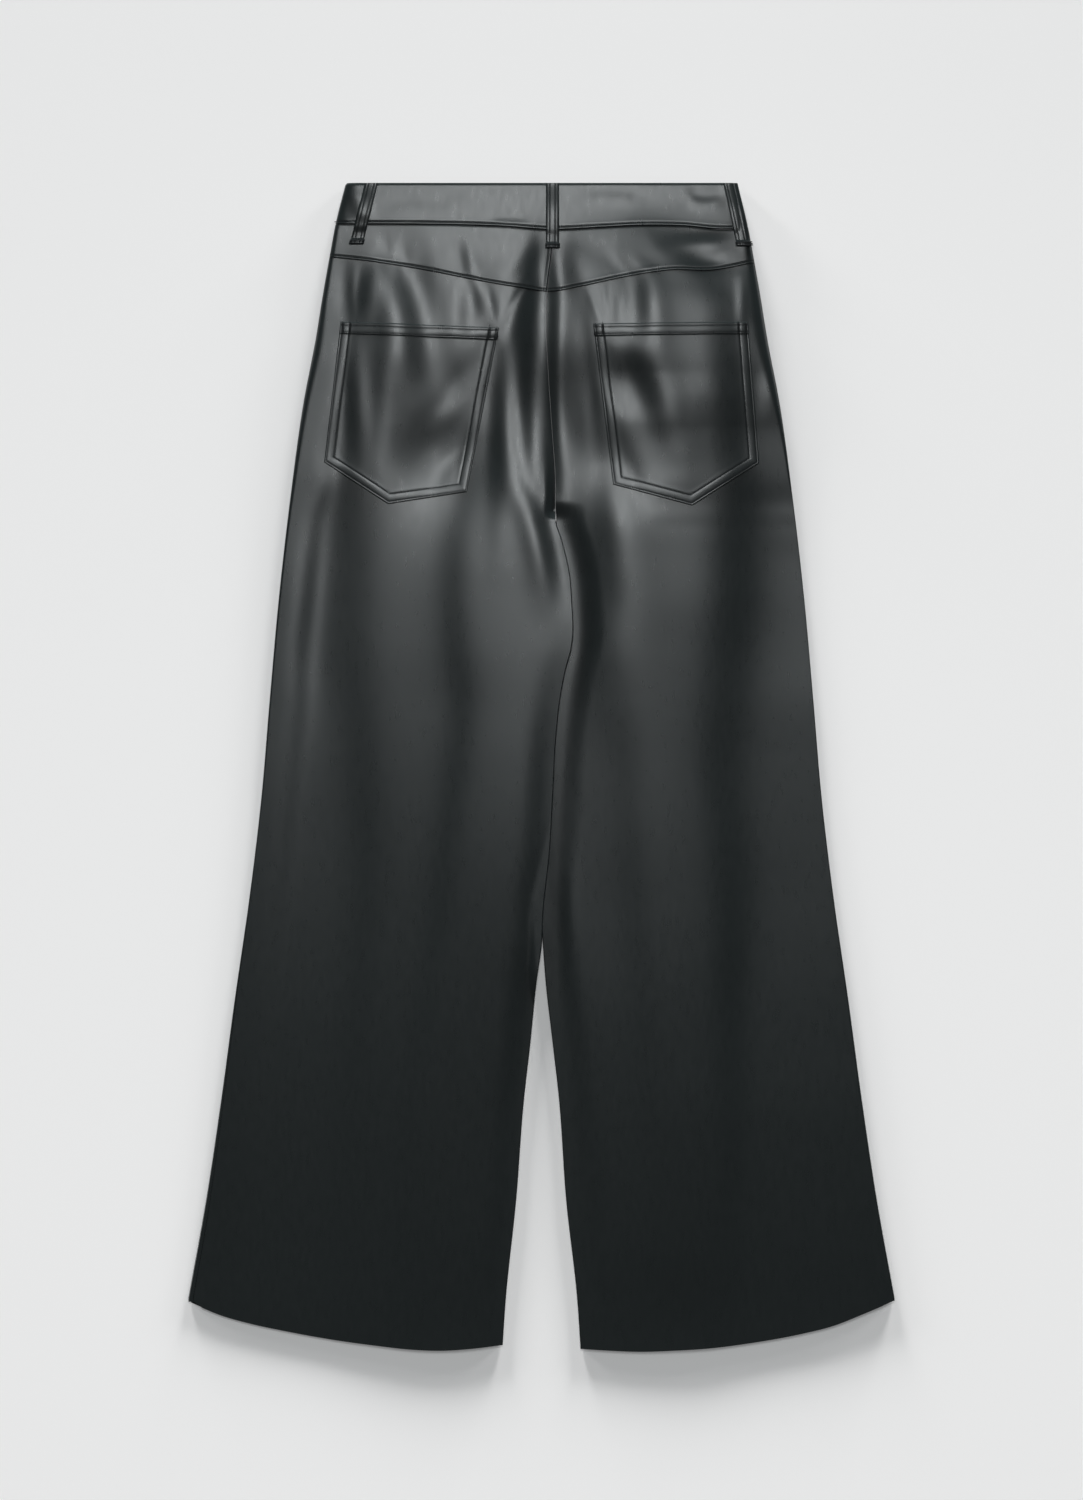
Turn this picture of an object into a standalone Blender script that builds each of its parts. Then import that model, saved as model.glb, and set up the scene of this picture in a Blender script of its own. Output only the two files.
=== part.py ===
"""Wide-leg trousers in faux leather, laid flat on a table with the front side down.

Every size is in millimetres until a mesh is made: x runs across the garment from its
centre line, drop runs down from the waistband's top edge to the hem, and z is the
height above the table. Left and right are as seen from above, where the back shows.
Row frame: +X to the right, +Y towards the waist, +Z up, origin on the table under
the middle of the garment's outline.
"""
from collections import namedtuple

import bmesh
import bpy
import numpy as np

MM = 0.001

# Driving dimensions
LENGTH = 1052.0             # waistband's top edge to the lowest point of the hem
WALL = 1.3                  # faux leather with its knit backing
BAND_WALL = 2.2             # waistband: two layers and an interlining
SEAM_GAP = 0.3              # between two pieces at a seam
ROLL = 1.8                  # radius of the turn where a side edge leaves the table
TURN_RADIUS = 1.45          # tightest radius of the back's outer surface at an edge
BAND_ROLL = 2.6
BAND_TURN_RADIUS = 2.5
YOKE_PROUD = 0.6            # the yoke is lapped over the leg panels
BAND_PROUD = 1.2            # the waistband is lapped over the yoke
CROTCH_DROP = 296.0
CROTCH_OPENS = 12.0         # length over which the four edges part below the crotch
SEAM_REACH = 9.0            # how far in the centre seam still holds a crossing leg down
SEAM_EASE = 8.0
PRESSED = 4.6               # right leg's height where the left leg lies on it
PRESSED_REACH = 27.0        # how far past the left leg's edge it is pressed down
PRESSED_EASE = 26.0
LIFT = 5.1                  # left leg's underside where it lies on the right leg
LIFT_REACH = 26.0           # how far before the right leg's edge its underside lifts
LIFT_EASE = 20.0
POCKET_GAP = 0.45           # pocket patch to the panel under it
POCKET_HEM = 10.5           # depth of the pocket's turned top hem
POCKET_HEM_RISE = 0.8
LOOP_WIDTH = 11.8
LOOP_THICKNESS = 1.9
LOOP_BOW = 1.3              # how far a belt loop stands off the band at its middle
LOOP_FOOT = 5.0             # length of the folded foot
LOOP_FOOT_RISE = 0.9
LOOP_TOP = 0.6              # drop of the loop's upper end
LOOP_SETTLES = 7.0          # length below the band over which a loop comes down on the yoke
BAND_DEPTH = 38.0

# The garment's outer outline, the same on both sides
SideRow = namedtuple("SideRow", "drop half_width")
SIDE_EDGE = [
    SideRow(0, 176.4), SideRow(32, 184.5), SideRow(68, 191.3), SideRow(104, 197.6),
    SideRow(140, 203.4), SideRow(194, 213.8), SideRow(284, 226.4), SideRow(374, 236.7),
    SideRow(464, 244.8), SideRow(554, 252.5), SideRow(644, 263.3), SideRow(734, 276.3),
    SideRow(824, 288.5), SideRow(914, 302.0), SideRow(1004, 318.2),
]

# x of the centre seam down to the crotch, then of each leg's inner edge. The left leg
# lies over the right one down to a drop of about 687, where the gap between them starts.
InnerRow = namedtuple("InnerRow", "drop left right")
INNER_EDGE = [
    InnerRow(0, 9.5, 9.5), InnerRow(60, 9.5, 9.5), InnerRow(99, 5.0, 5.0),
    InnerRow(126, 4.2, 4.2), InnerRow(160, 5.5, 5.5), InnerRow(222, 9.5, 9.5),
    InnerRow(267, 12.5, 12.5), InnerRow(292, 12.6, 12.6), InnerRow(304, 13.0, 13.0),
    InnerRow(323, 19.0, 8.0), InnerRow(353, 25.7, -4.0), InnerRow(379, 27.7, -10.0),
    InnerRow(404, 28.6, -14.0), InnerRow(420, 26.8, -15.4), InnerRow(436, 22.4, -16.0),
    InnerRow(461, 17.5, -15.5), InnerRow(490, 14.0, -14.0), InnerRow(552, 10.4, -9.5),
    InnerRow(603, 7.4, -5.5), InnerRow(654, 1.8, -1.0), InnerRow(687, 0.2, 1.2),
    InnerRow(717, -4.0, 3.4), InnerRow(771, -9.5, 9.5), InnerRow(825, -15.6, 15.6),
    InnerRow(915, -22.6, 22.0), InnerRow(1005, -32.0, 32.0), InnerRow(1052, -35.2, 35.2),
]

# Seams and hem as drops across the garment, on the back
WaistSeamRow = namedtuple("WaistSeamRow", "x drop")
WAIST_SEAM = [
    WaistSeamRow(-186, 37.4), WaistSeamRow(-100, 37.8), WaistSeamRow(-37, 39.4),
    WaistSeamRow(10, 42.4), WaistSeamRow(53, 40.4), WaistSeamRow(90, 38.6),
    WaistSeamRow(129, 39.2), WaistSeamRow(160, 42.0), WaistSeamRow(188, 41.4),
]
YokeSeamRow = namedtuple("YokeSeamRow", "x drop")
YOKE_SEAM = [
    YokeSeamRow(-192, 67.0), YokeSeamRow(-154, 71.0), YokeSeamRow(-100, 79.7),
    YokeSeamRow(-60, 87.8), YokeSeamRow(-20, 94.6), YokeSeamRow(5, 98.5),
    YokeSeamRow(35, 94.0), YokeSeamRow(75, 85.5), YokeSeamRow(116, 79.4),
    YokeSeamRow(154, 79.2), YokeSeamRow(192, 72.3),
]
HemRow = namedtuple("HemRow", "from_center left right")
HEM = [
    HemRow(35, 1046, 1049.5), HemRow(60, 1049, 1051), HemRow(90, 1051, 1052),
    HemRow(118, 1050, 1051), HemRow(150, 1046.5, 1049), HemRow(190, 1041, 1044),
    HemRow(234, 1033, 1036), HemRow(262, 1027, 1029), HemRow(290, 1019, 1018),
    HemRow(318, 1007, 1006),
]

# Height of the back's outer surface above what the garment lies on
LayRow = namedtuple("LayRow", "drop height")
LAY = [
    LayRow(0, 5.8), LayRow(60, 5.5), LayRow(110, 5.1), LayRow(300, 4.9),
    LayRow(700, 4.8), LayRow(1052, 4.6),
]

# Where along the garment the left leg lies over the right one: it starts at a drop,
# opens over a length, and ends and closes in the same way
Span = namedtuple("Span", "starts opens ends closes")
LIES_OVER = Span(294.0, 9.0, 705.0, 60.0)
PRESSES = Span(286.0, 18.0, 690.0, 90.0)

# The largest folds of the back. Each is a rise or a fall of the cloth on the way out from
# the centre seam: x is its middle, width how far it reaches across and rise its height.
FoldRow = namedtuple("FoldRow", "drop x width rise")
Fold = namedtuple("Fold", "name side rows")
FOLDS = [
    Fold("seat level beside the centre seam", -1, [
        FoldRow(29, -9, 18, 0.0), FoldRow(65, -9, 18, 0.6), FoldRow(105, -13, 20, 1.4),
        FoldRow(150, -15, 22, 1.6), FoldRow(195, -15, 22, 1.7), FoldRow(240, -12, 22, 1.7),
        FoldRow(267, -9, 22, 1.4), FoldRow(303, -3, 22, 0.8), FoldRow(348, -1, 22, 0.3),
        FoldRow(420, -1, 22, 0.0)]),
    Fold("left seat crease", -1, [
        FoldRow(29, -72, 14, 0.0), FoldRow(65, -68, 14, -0.9), FoldRow(87, -63, 15, -1.4),
        FoldRow(105, -56, 17, -1.7), FoldRow(132, -46, 18, -1.5), FoldRow(150, -38, 20, -1.2),
        FoldRow(195, -37, 20, -1.1), FoldRow(240, -40, 20, -1.1), FoldRow(267, -43, 20, -1.0),
        FoldRow(303, -43, 22, -0.8), FoldRow(348, -44, 22, -0.3), FoldRow(420, -44, 22, 0.0)]),
    Fold("left seat swell", -1, [
        FoldRow(35, -133, 24, 0.0), FoldRow(65, -130, 26, 1.2), FoldRow(83, -125, 32, 2.2),
        FoldRow(105, -118, 38, 3.2), FoldRow(150, -111, 44, 3.5), FoldRow(177, -104, 54, 3.3),
        FoldRow(195, -97, 62, 3.1), FoldRow(240, -86, 80, 2.6), FoldRow(267, -81, 95, 2.3),
        FoldRow(303, -78, 105, 2.1), FoldRow(375, -76, 105, 1.9), FoldRow(465, -75, 105, 1.8),
        FoldRow(600, -86, 100, 1.4), FoldRow(735, -105, 90, 0.9), FoldRow(1046, -127, 80, 0.0)]),
    Fold("left hip crease", -1, [
        FoldRow(60, -162, 18, 0.0), FoldRow(92, -163, 18, -0.6), FoldRow(105, -164, 18, -0.9),
        FoldRow(123, -169, 22, -1.2), FoldRow(150, -174, 26, -1.8),
        FoldRow(195, -171, 30, -2.5), FoldRow(240, -169, 34, -2.7),
        FoldRow(267, -175, 40, -2.8), FoldRow(303, -174, 50, -3.1),
        FoldRow(339, -171, 56, -3.4), FoldRow(375, -171, 58, -3.6),
        FoldRow(420, -171, 60, -3.7), FoldRow(465, -167, 60, -3.6),
        FoldRow(519, -163, 58, -3.4), FoldRow(600, -158, 54, -3.2),
        FoldRow(681, -162, 52, -2.7), FoldRow(735, -166, 50, -2.3),
        FoldRow(843, -172, 50, -1.8), FoldRow(951, -177, 50, -1.3),
        FoldRow(1046, -180, 50, -0.8)]),
    Fold("left hip fall", -1, [
        FoldRow(2, -153, 60, 0.0), FoldRow(51, -159, 60, -0.7), FoldRow(105, -177, 60, -1.7),
        FoldRow(150, -186, 60, -1.4), FoldRow(195, -190, 60, -0.8),
        FoldRow(267, -195, 60, 0.0)]),
    Fold("left side seam allowance", -1, [
        FoldRow(96, -171, 18, 0.0), FoldRow(150, -179, 20, 1.2), FoldRow(195, -183, 22, 1.6),
        FoldRow(240, -191, 22, 1.9), FoldRow(267, -191, 24, 2.2), FoldRow(303, -201, 26, 2.6),
        FoldRow(339, -206, 27, 2.8), FoldRow(375, -210, 28, 2.8), FoldRow(420, -216, 28, 2.7),
        FoldRow(465, -217, 28, 2.6), FoldRow(519, -222, 28, 2.5), FoldRow(600, -230, 28, 2.2),
        FoldRow(681, -240, 28, 1.7), FoldRow(735, -246, 26, 1.3), FoldRow(843, -258, 26, 0.8),
        FoldRow(1046, -271, 26, 0.0)]),
    Fold("climb from the centre seam", 1, [
        FoldRow(11, 27, 30, 0.0), FoldRow(51, 27, 34, 1.8), FoldRow(65, 24, 38, 2.5),
        FoldRow(105, 32, 40, 2.9), FoldRow(150, 33, 44, 3.2), FoldRow(195, 30, 46, 3.4),
        FoldRow(240, 32, 48, 3.6), FoldRow(267, 33, 50, 3.7), FoldRow(303, 34, 50, 3.7),
        FoldRow(339, 36, 48, 3.5), FoldRow(375, 38, 46, 3.2), FoldRow(420, 40, 44, 3.2),
        FoldRow(465, 36, 42, 3.2), FoldRow(519, 31, 40, 2.8), FoldRow(600, 26, 36, 2.2),
        FoldRow(645, 22, 32, 2.2), FoldRow(681, 22, 30, 2.8), FoldRow(735, 27, 30, 3.4),
        FoldRow(789, 33, 30, 3.2), FoldRow(843, 38, 32, 2.8), FoldRow(951, 49, 34, 2.0),
        FoldRow(1046, 57, 34, 1.0)]),
    Fold("right pocket flank", 1, [
        FoldRow(33, 96, 32, 0.0), FoldRow(65, 95, 32, 0.9), FoldRow(87, 93, 34, 2.2),
        FoldRow(105, 90, 36, 3.2), FoldRow(128, 85, 42, 3.9), FoldRow(150, 80, 46, 4.2),
        FoldRow(173, 90, 44, 3.9), FoldRow(195, 102, 40, 3.2), FoldRow(222, 108, 38, 1.8),
        FoldRow(240, 113, 36, 1.0), FoldRow(267, 125, 36, 0.3), FoldRow(294, 129, 36, 0.0)]),
    Fold("right thigh flank", 1, [
        FoldRow(218, 58, 30, 0.0), FoldRow(249, 58, 30, 1.2), FoldRow(267, 57, 32, 2.2),
        FoldRow(285, 57, 34, 3.4), FoldRow(303, 58, 38, 4.8), FoldRow(339, 61, 46, 5.9),
        FoldRow(375, 63, 56, 6.4), FoldRow(420, 60, 70, 6.4), FoldRow(465, 67, 72, 6.2),
        FoldRow(519, 76, 66, 5.8), FoldRow(600, 80, 60, 5.2), FoldRow(681, 86, 54, 4.4),
        FoldRow(735, 90, 52, 3.6), FoldRow(843, 98, 50, 2.8), FoldRow(960, 102, 50, 1.8),
        FoldRow(1046, 107, 50, 1.0)]),
    Fold("right plateau fall", 1, [
        FoldRow(15, 89, 44, 0.0), FoldRow(38, 99, 44, -1.1), FoldRow(58, 116, 46, -2.4),
        FoldRow(71, 128, 50, -3.1), FoldRow(87, 148, 52, -3.2), FoldRow(105, 162, 50, -3.4),
        FoldRow(150, 167, 52, -4.2), FoldRow(195, 175, 50, -4.6), FoldRow(240, 176, 50, -5.4),
        FoldRow(267, 180, 50, -5.7), FoldRow(303, 177, 54, -6.3), FoldRow(339, 176, 56, -7.0),
        FoldRow(375, 176, 58, -7.2), FoldRow(420, 171, 62, -6.8), FoldRow(465, 167, 64, -6.2),
        FoldRow(519, 163, 60, -6.2), FoldRow(600, 169, 54, -6.2), FoldRow(681, 171, 46, -5.8),
        FoldRow(735, 169, 42, -5.2), FoldRow(789, 170, 42, -4.6), FoldRow(843, 171, 42, -4.0),
        FoldRow(960, 168, 42, -2.6), FoldRow(1046, 168, 42, -1.4)]),
    Fold("right hip fall", 1, [
        FoldRow(2, 143, 70, 0.0), FoldRow(69, 168, 70, -0.8), FoldRow(105, 177, 70, -1.8),
        FoldRow(150, 188, 66, -1.8), FoldRow(240, 201, 66, -1.4), FoldRow(303, 206, 66, -1.2),
        FoldRow(375, 211, 66, -1.2), FoldRow(465, 218, 66, -0.8), FoldRow(600, 228, 60, 0.3),
        FoldRow(681, 233, 60, 1.0), FoldRow(789, 246, 60, 1.0), FoldRow(1046, 260, 60, 0.4)]),
]

# The seat stands up in a narrow ridge over the centre seam, between two flanks
RidgeRow = namedtuple("RidgeRow", "drop left right height")
SEAM_RIDGE = [
    RidgeRow(15, -2.2, 8.6, 0.0), RidgeRow(60, -4, 10.3, 1.5), RidgeRow(83, -5.9, 11.2, 2.6),
    RidgeRow(105, -9.5, 14, 3.3), RidgeRow(150, -11.2, 12.2, 3.5),
    RidgeRow(195, -11.2, 11.2, 3.5), RidgeRow(231, -9.5, 14, 3.4),
    RidgeRow(267, -5.9, 16.7, 3.0), RidgeRow(290, -0.5, 16.7, 1.4),
    RidgeRow(308, 3.1, 16.7, 0.0),
]
RIDGE_FLANK = 15.0

# The left leg climbs onto the right one about x and comes down again to its inner edge
ClimbRow = namedtuple("ClimbRow", "drop x height edge_height")
CLIMB = [
    ClimbRow(191, -64, 0.0, 0.0), ClimbRow(231, -63, 1.2, 0.0), ClimbRow(258, -66, 3.0, 0.6),
    ClimbRow(276, -69, 4.4, 1.8), ClimbRow(296, -73, 5.8, 3.8), ClimbRow(317, -77, 6.8, 5.1),
    ClimbRow(339, -79, 7.3, 5.1), ClimbRow(375, -80, 7.5, 5.1), ClimbRow(420, -77, 7.5, 5.1),
    ClimbRow(465, -72, 7.4, 5.1), ClimbRow(519, -76, 7.2, 5.1), ClimbRow(600, -86, 7.2, 4.4),
    ClimbRow(681, -95, 6.4, 3.0), ClimbRow(735, -105, 5.6, 1.5), ClimbRow(789, -113, 4.8, 0.8),
    ClimbRow(843, -121, 4.2, 0.5), ClimbRow(951, -127, 3.0, 0.2),
    ClimbRow(1046, -132, 1.8, 0.0),
]
CLIMB_WIDTHS = (36.0, 120.0)  # a narrow flank within a wide one
NARROW_SHARE = 0.25
CLIMB_END = 26.0            # how far inside the edge the left leg comes down again
CLIMB_END_WIDTH = 40.0

# How far the front panel comes round the side edge before it meets the back panel
WrapRow = namedtuple("WrapRow", "drop left right")
WRAP = [
    WrapRow(0, 0.5, 0.5), WrapRow(300, 0.5, 0.5), WrapRow(540, 0.5, 0.5),
    WrapRow(640, 0.7, 0.5), WrapRow(820, 2.2, 0.7), WrapRow(960, 4.0, 0.9),
    WrapRow(1052, 4.4, 1.0),
]

# Patch pockets: corners as (x, drop), and the points between them that bend a side
Pocket = namedtuple(
    "Pocket", "name side top_inner top_outer low_inner point low_outer point_share")
POCKETS = [
    Pocket("pocket_left", -1, (-38.3, 130.5), (-180.5, 125.3), (-67.0, 278.1),
           (-138.0, 289.0), (-195.6, 251.4), 0.553),
    Pocket("pocket_right", 1, (46.4, 127.6), (185.4, 125.8), (64.4, 271.6),
           (135.5, 290.6), (195.8, 252.2), 0.541),
]

# Belt loops: middle line's x at the band's top edge and at the foot's end
Loop = namedtuple("Loop", "name x_top x_foot drop_foot")
LOOPS = [
    Loop("belt_loop_left", -153.0, -166.6, 55.6),
    Loop("belt_loop_center", 9.9, 9.9, 59.4),
    Loop("belt_loop_right", 169.4, 181.6, 57.6),
]

# Columns of a panel: distances in from its edges, and how many steps lie between them
BACK_INNER_STEPS = (0.9, 2.4, 6.0, 12.5)
BACK_SIDE_STEPS = (0.4, 1.8, 4.6, 10.0)
BACK_MIDDLE = 15
FRONT_INNER_STEPS = {-1: (0.5, 4.0, 10.0, 18.0, 27.0, 36.0, 45.0, 55.0, 66.0),
                     1: (0.5, 6.0)}
FRONT_SIDE_STEPS = (0.5, 6.0)
FRONT_MIDDLE = {-1: 4, 1: 4}

# Rows of a panel, as drops. The first and last rows follow the seam and the hem, and
# back and front share the rest, so that their edges run together.
BACK_ROWS = (
    67, 84, 103, 123, 144, 165, 187, 210, 233, 255, 274, 287, 294, 298, 303, 309, 318,
    332, 350, 372, 396, 418, 436, 460, 495, 535, 580, 625, 662, 690, 718, 765, 820,
    880, 940, 1000, 1050)
FRONT_ROWS = (38,) + BACK_ROWS
YOKE_DROPS = (42.0, 47.0, 63.5, 80.0, 85.0)
BAND_SHARES = (0.0, 0.1, 0.35, 0.65, 0.9, 1.0)

# Columns of the band from the hidden centre front round one side to centre back: shares
# of the way under it, radians of the turn, distances in from the side, shares of the way
BAND_COLUMNS = (
    ("under", (0.0, 0.3, 0.6, 0.85, 1.0)),
    ("turn", tuple(np.radians((0.0, 30.0, 60.0, 90.0)))),
    ("over", (0.5, 1.6, 3.6, 6.5, 11.0)),
    ("across", (0.12, 0.27, 0.42, 0.57, 0.72, 0.87, 1.0)),
)
BAND_UNDER_REACH = 8.0      # distance in from the side where the band starts to turn up
BAND_OVER_REACH = 11.0
ROW_FADE = 160.0            # how far a seam's or the hem's curve reaches into the rows
WRAP_FADE = 16.0            # how far the wrapped side seam pushes the back's columns in

LEATHER_COLOR = (0.013, 0.015, 0.016, 1.0)
LEATHER_ROUGHNESS = 0.42


def curve(rows, column, at, level_ends=False):
    """Smooth curve through one column of a table, read along the table's first column."""
    x = np.array([row[0] for row in rows], float)
    y = np.array([getattr(row, column) for row in rows], float)
    slope = np.gradient(y, x)
    if level_ends:
        slope[0] = slope[-1] = 0.0
    at = np.clip(at, x[0], x[-1])
    i = np.clip(np.searchsorted(x, at) - 1, 0, len(x) - 2)
    step = x[i + 1] - x[i]
    t = (at - x[i]) / step
    start = (1 + 2 * t) * (1 - t) ** 2 * y[i] + t * (1 - t) ** 2 * step * slope[i]
    end = t * t * (3 - 2 * t) * y[i + 1] - t * t * (1 - t) * step * slope[i + 1]
    return start + end


def ease(t):
    """Smooth step from 0 to 1."""
    t = np.clip(t, 0.0, 1.0)
    return t * t * (3.0 - 2.0 * t)


def swell(t):
    """Rounder step from 0 to 1 with long ends and its middle at 0."""
    return 0.5 + 0.5 * np.tanh(2.5 * t)


def column_of(side):
    return "left" if side < 0 else "right"


def side_edge(side, drop):
    return side * curve(SIDE_EDGE, "half_width", drop)


def inner_edge(side, drop):
    return curve(INNER_EDGE, column_of(side), drop)


def hem_line(side, x):
    return curve(HEM, column_of(side), np.abs(x))


def waist_seam(x):
    return curve(WAIST_SEAM, "drop", x)


def front_waist_seam(x):
    """The hidden front's waist seam, straight between the ends of the back's one."""
    first, last = WAIST_SEAM[0], WAIST_SEAM[-1]
    return np.interp(x, (first.x, last.x), (first.drop, last.drop))


def yoke_seam(x):
    return curve(YOKE_SEAM, "drop", x)


def fold_height(side, x, drop):
    """Sum of one side's folds at a place on the back."""
    total = np.zeros_like(x)
    for fold in FOLDS:
        if fold.side == side:
            middle, width, rise = (curve(fold.rows, column, drop, level_ends=True)
                                   for column in ("x", "width", "rise"))
            total = total + rise * swell(side * (x - middle) / width)
    left, right, height = (curve(SEAM_RIDGE, column, drop, level_ends=True)
                           for column in ("left", "right", "height"))
    return total + height * swell((x - left) / RIDGE_FLANK) * swell((right - x) / RIDGE_FLANK)


def span_share(drop, span):
    """1 within a span of the garment's length, eased to 0 above and below."""
    opened = ease((drop - span.starts) / span.opens)
    return opened * (1 - ease((drop - span.ends) / span.closes))


def underside(side, x, drop):
    """What a leg lies on: the table, or for the left leg's inner part the right leg."""
    if side > 0:
        return np.zeros_like(x)
    over = ease((x - inner_edge(1, drop) + LIFT_REACH) / LIFT_EASE)
    return LIFT * span_share(drop, LIES_OVER) * over


def back_lift(side, x, drop):
    """How far the right leg under it raises the left leg's back panel."""
    if side > 0:
        return np.zeros_like(x)
    middle, height, edge_height = (curve(CLIMB, column, drop, level_ends=True)
                                   for column in ("x", "height", "edge_height"))
    narrow, wide = (swell((x - middle) / width) for width in CLIMB_WIDTHS)
    up = height * (NARROW_SHARE * narrow + (1 - NARROW_SHARE) * wide)
    from_edge = inner_edge(-1, drop) - x
    down = (height - edge_height) * swell((CLIMB_END - from_edge) / CLIMB_END_WIDTH)
    held = ease((SEAM_REACH - from_edge) / SEAM_EASE)
    opened = ease((drop - LIES_OVER.starts) / LIES_OVER.opens)
    return np.maximum((up - down) * (1 - held * (1 - opened)), underside(side, x, drop))


def crown(distance, height, roll=ROLL, radius=TURN_RADIUS):
    """Height of the upper surface at a distance in from a rolled edge."""
    rise = height - roll
    inside = np.clip(distance / (rise ** 2 / radius), 0.0, 1.0)
    return roll + rise * np.sqrt(1.0 - (1.0 - inside) ** 2)


def back_height(side, x, drop, proud=0.0):
    """Height of the outer surface of the back, yokes and legs alike."""
    height = curve(LAY, "height", drop) + fold_height(side, x, drop) + proud
    if side > 0:
        covered = ease((inner_edge(-1, drop) + PRESSED_REACH - x) / PRESSED_EASE)
        covered = covered * span_share(drop, PRESSES)
        height = height + (np.minimum(height, PRESSED) - height) * covered
    opened = ease((drop - CROTCH_DROP) / CROTCH_OPENS)
    at_inner = crown((x - inner_edge(side, drop)) * side, height)
    at_inner = height + (at_inner - height) * opened
    at_side = crown((side_edge(side, drop) - x) * side, height)
    return np.minimum(at_inner, at_side) + back_lift(side, x, drop)


def band_height(x, drop):
    """Height of the waistband's outer surface."""
    folds = np.where(x > inner_edge(1, drop), fold_height(1, x, drop), fold_height(-1, x, drop))
    height = curve(LAY, "height", drop) + BAND_PROUD + folds
    from_edge = curve(SIDE_EDGE, "half_width", drop) - np.abs(x)
    return crown(from_edge, height, BAND_ROLL, BAND_TURN_RADIUS)


def row_drops(nominal, x, top_line, bottom_line, fade):
    """Drops of the rows, bent to the top line and to the bottom line near them."""
    first, last = nominal[0], nominal[-1]
    near_top = np.clip(1 - (nominal - first) / fade, 0.0, 1.0)
    near_bottom = np.clip(1 - (last - nominal) / fade, 0.0, 1.0)
    return (nominal + near_top * (top_line(x) - first)
            + near_bottom * (bottom_line(x) - last))


def spread(side, drop, plan):
    """x of every grid point: each column's plan is (share, from inner, from side)."""
    share, from_inner, from_side = (np.array(values) for values in zip(*plan))
    inner = inner_edge(side, drop) + side * from_inner
    outer = side_edge(side, drop) - side * from_side
    return inner + (outer - inner) * share


def column_plan(inner_steps, middle, side_steps):
    plan = [(0.0, step, side_steps[-1]) for step in inner_steps]
    plan += [(i / middle, inner_steps[-1], side_steps[-1]) for i in range(1, middle)]
    return plan + [(1.0, inner_steps[-1], step) for step in reversed(side_steps)]


def place_grid(side, plan, rows, top_line, bottom_line, fade):
    """x and drop of every point of a panel's grid."""
    nominal = np.repeat(np.array(rows, float)[:, None], len(plan), axis=1)
    drop = nominal
    for _ in range(4):
        x = spread(side, drop, plan)
        drop = row_drops(nominal, x, top_line, bottom_line, fade)
    return spread(side, drop, plan), drop


def stack(x, drop, z):
    """Grid points of the row frame, still in millimetres."""
    return np.stack((x, LENGTH / 2 - drop, z), axis=-1)


def slope_of(points, axis):
    """Direction of a grid of points along one of its axes, true also where steps differ."""
    steps = np.linalg.norm(np.diff(points, axis=axis), axis=-1).mean(axis=1 - axis)
    return np.gradient(points, np.concatenate(([0.0], np.cumsum(steps))), axis=axis)


def outward(points, up):
    """Unit normals of a grid of points, up for a back and down for a front."""
    normal = np.cross(slope_of(points, 1), slope_of(points, 0))
    normal /= np.linalg.norm(normal, axis=-1, keepdims=True)
    if (normal[..., 2].mean() > 0) != up:
        normal = -normal
    return normal


def square_rows(normal):
    """Turn the end rows' normals upright along the garment, so that ends face squarely."""
    normal[0, :, 1] = 0.0
    normal[-1, :, 1] = 0.0
    return normal / np.linalg.norm(normal, axis=-1, keepdims=True)


def square_center_seam(normal, drop, column):
    """Turn the normals upright across the centre seam, where two panels butt."""
    opened = ease((drop[:, column] - CROTCH_DROP) / CROTCH_OPENS)
    normal[:, column, 0] *= opened
    return normal / np.linalg.norm(normal, axis=-1, keepdims=True)


def leather(name):
    material = bpy.data.materials.new(name)
    material.use_nodes = True
    shader = material.node_tree.nodes["Principled BSDF"]
    shader.inputs["Base Color"].default_value = LEATHER_COLOR
    shader.inputs["Roughness"].default_value = LEATHER_ROUGHNESS
    shader.inputs["Metallic"].default_value = 0.0
    material.diffuse_color = LEATHER_COLOR
    return material


def make_wall(name, outer, inner):
    """One closed piece of cloth between two grids of points."""
    rows, columns = outer.shape[:2]
    mesh_points = bmesh.new()
    faces = []
    skins = []
    for grid in (outer, inner):
        skin = [[mesh_points.verts.new(point * MM) for point in row] for row in grid]
        skins.append(skin)
    top, low = skins
    for i in range(rows - 1):
        for j in range(columns - 1):
            faces.append((top[i][j], top[i][j + 1], top[i + 1][j + 1], top[i + 1][j]))
            faces.append((low[i][j], low[i + 1][j], low[i + 1][j + 1], low[i][j + 1]))
    for i in range(rows - 1):
        for j in (0, columns - 1):
            faces.append((top[i][j], top[i + 1][j], low[i + 1][j], low[i][j]))
    for j in range(columns - 1):
        for i in (0, rows - 1):
            faces.append((top[i][j], low[i][j], low[i][j + 1], top[i][j + 1]))
    for face in faces:
        mesh_points.faces.new(face)
    bmesh.ops.recalc_face_normals(mesh_points, faces=mesh_points.faces)
    mesh = bpy.data.meshes.new(name)
    mesh_points.to_mesh(mesh)
    mesh_points.free()
    mesh.shade_smooth()
    mesh.set_sharp_from_angle(angle=0.7)
    mesh.materials.append(leather(name + "_faux_leather"))
    piece = bpy.data.objects.new(name, mesh)
    bpy.context.collection.objects.link(piece)
    return piece


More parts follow.
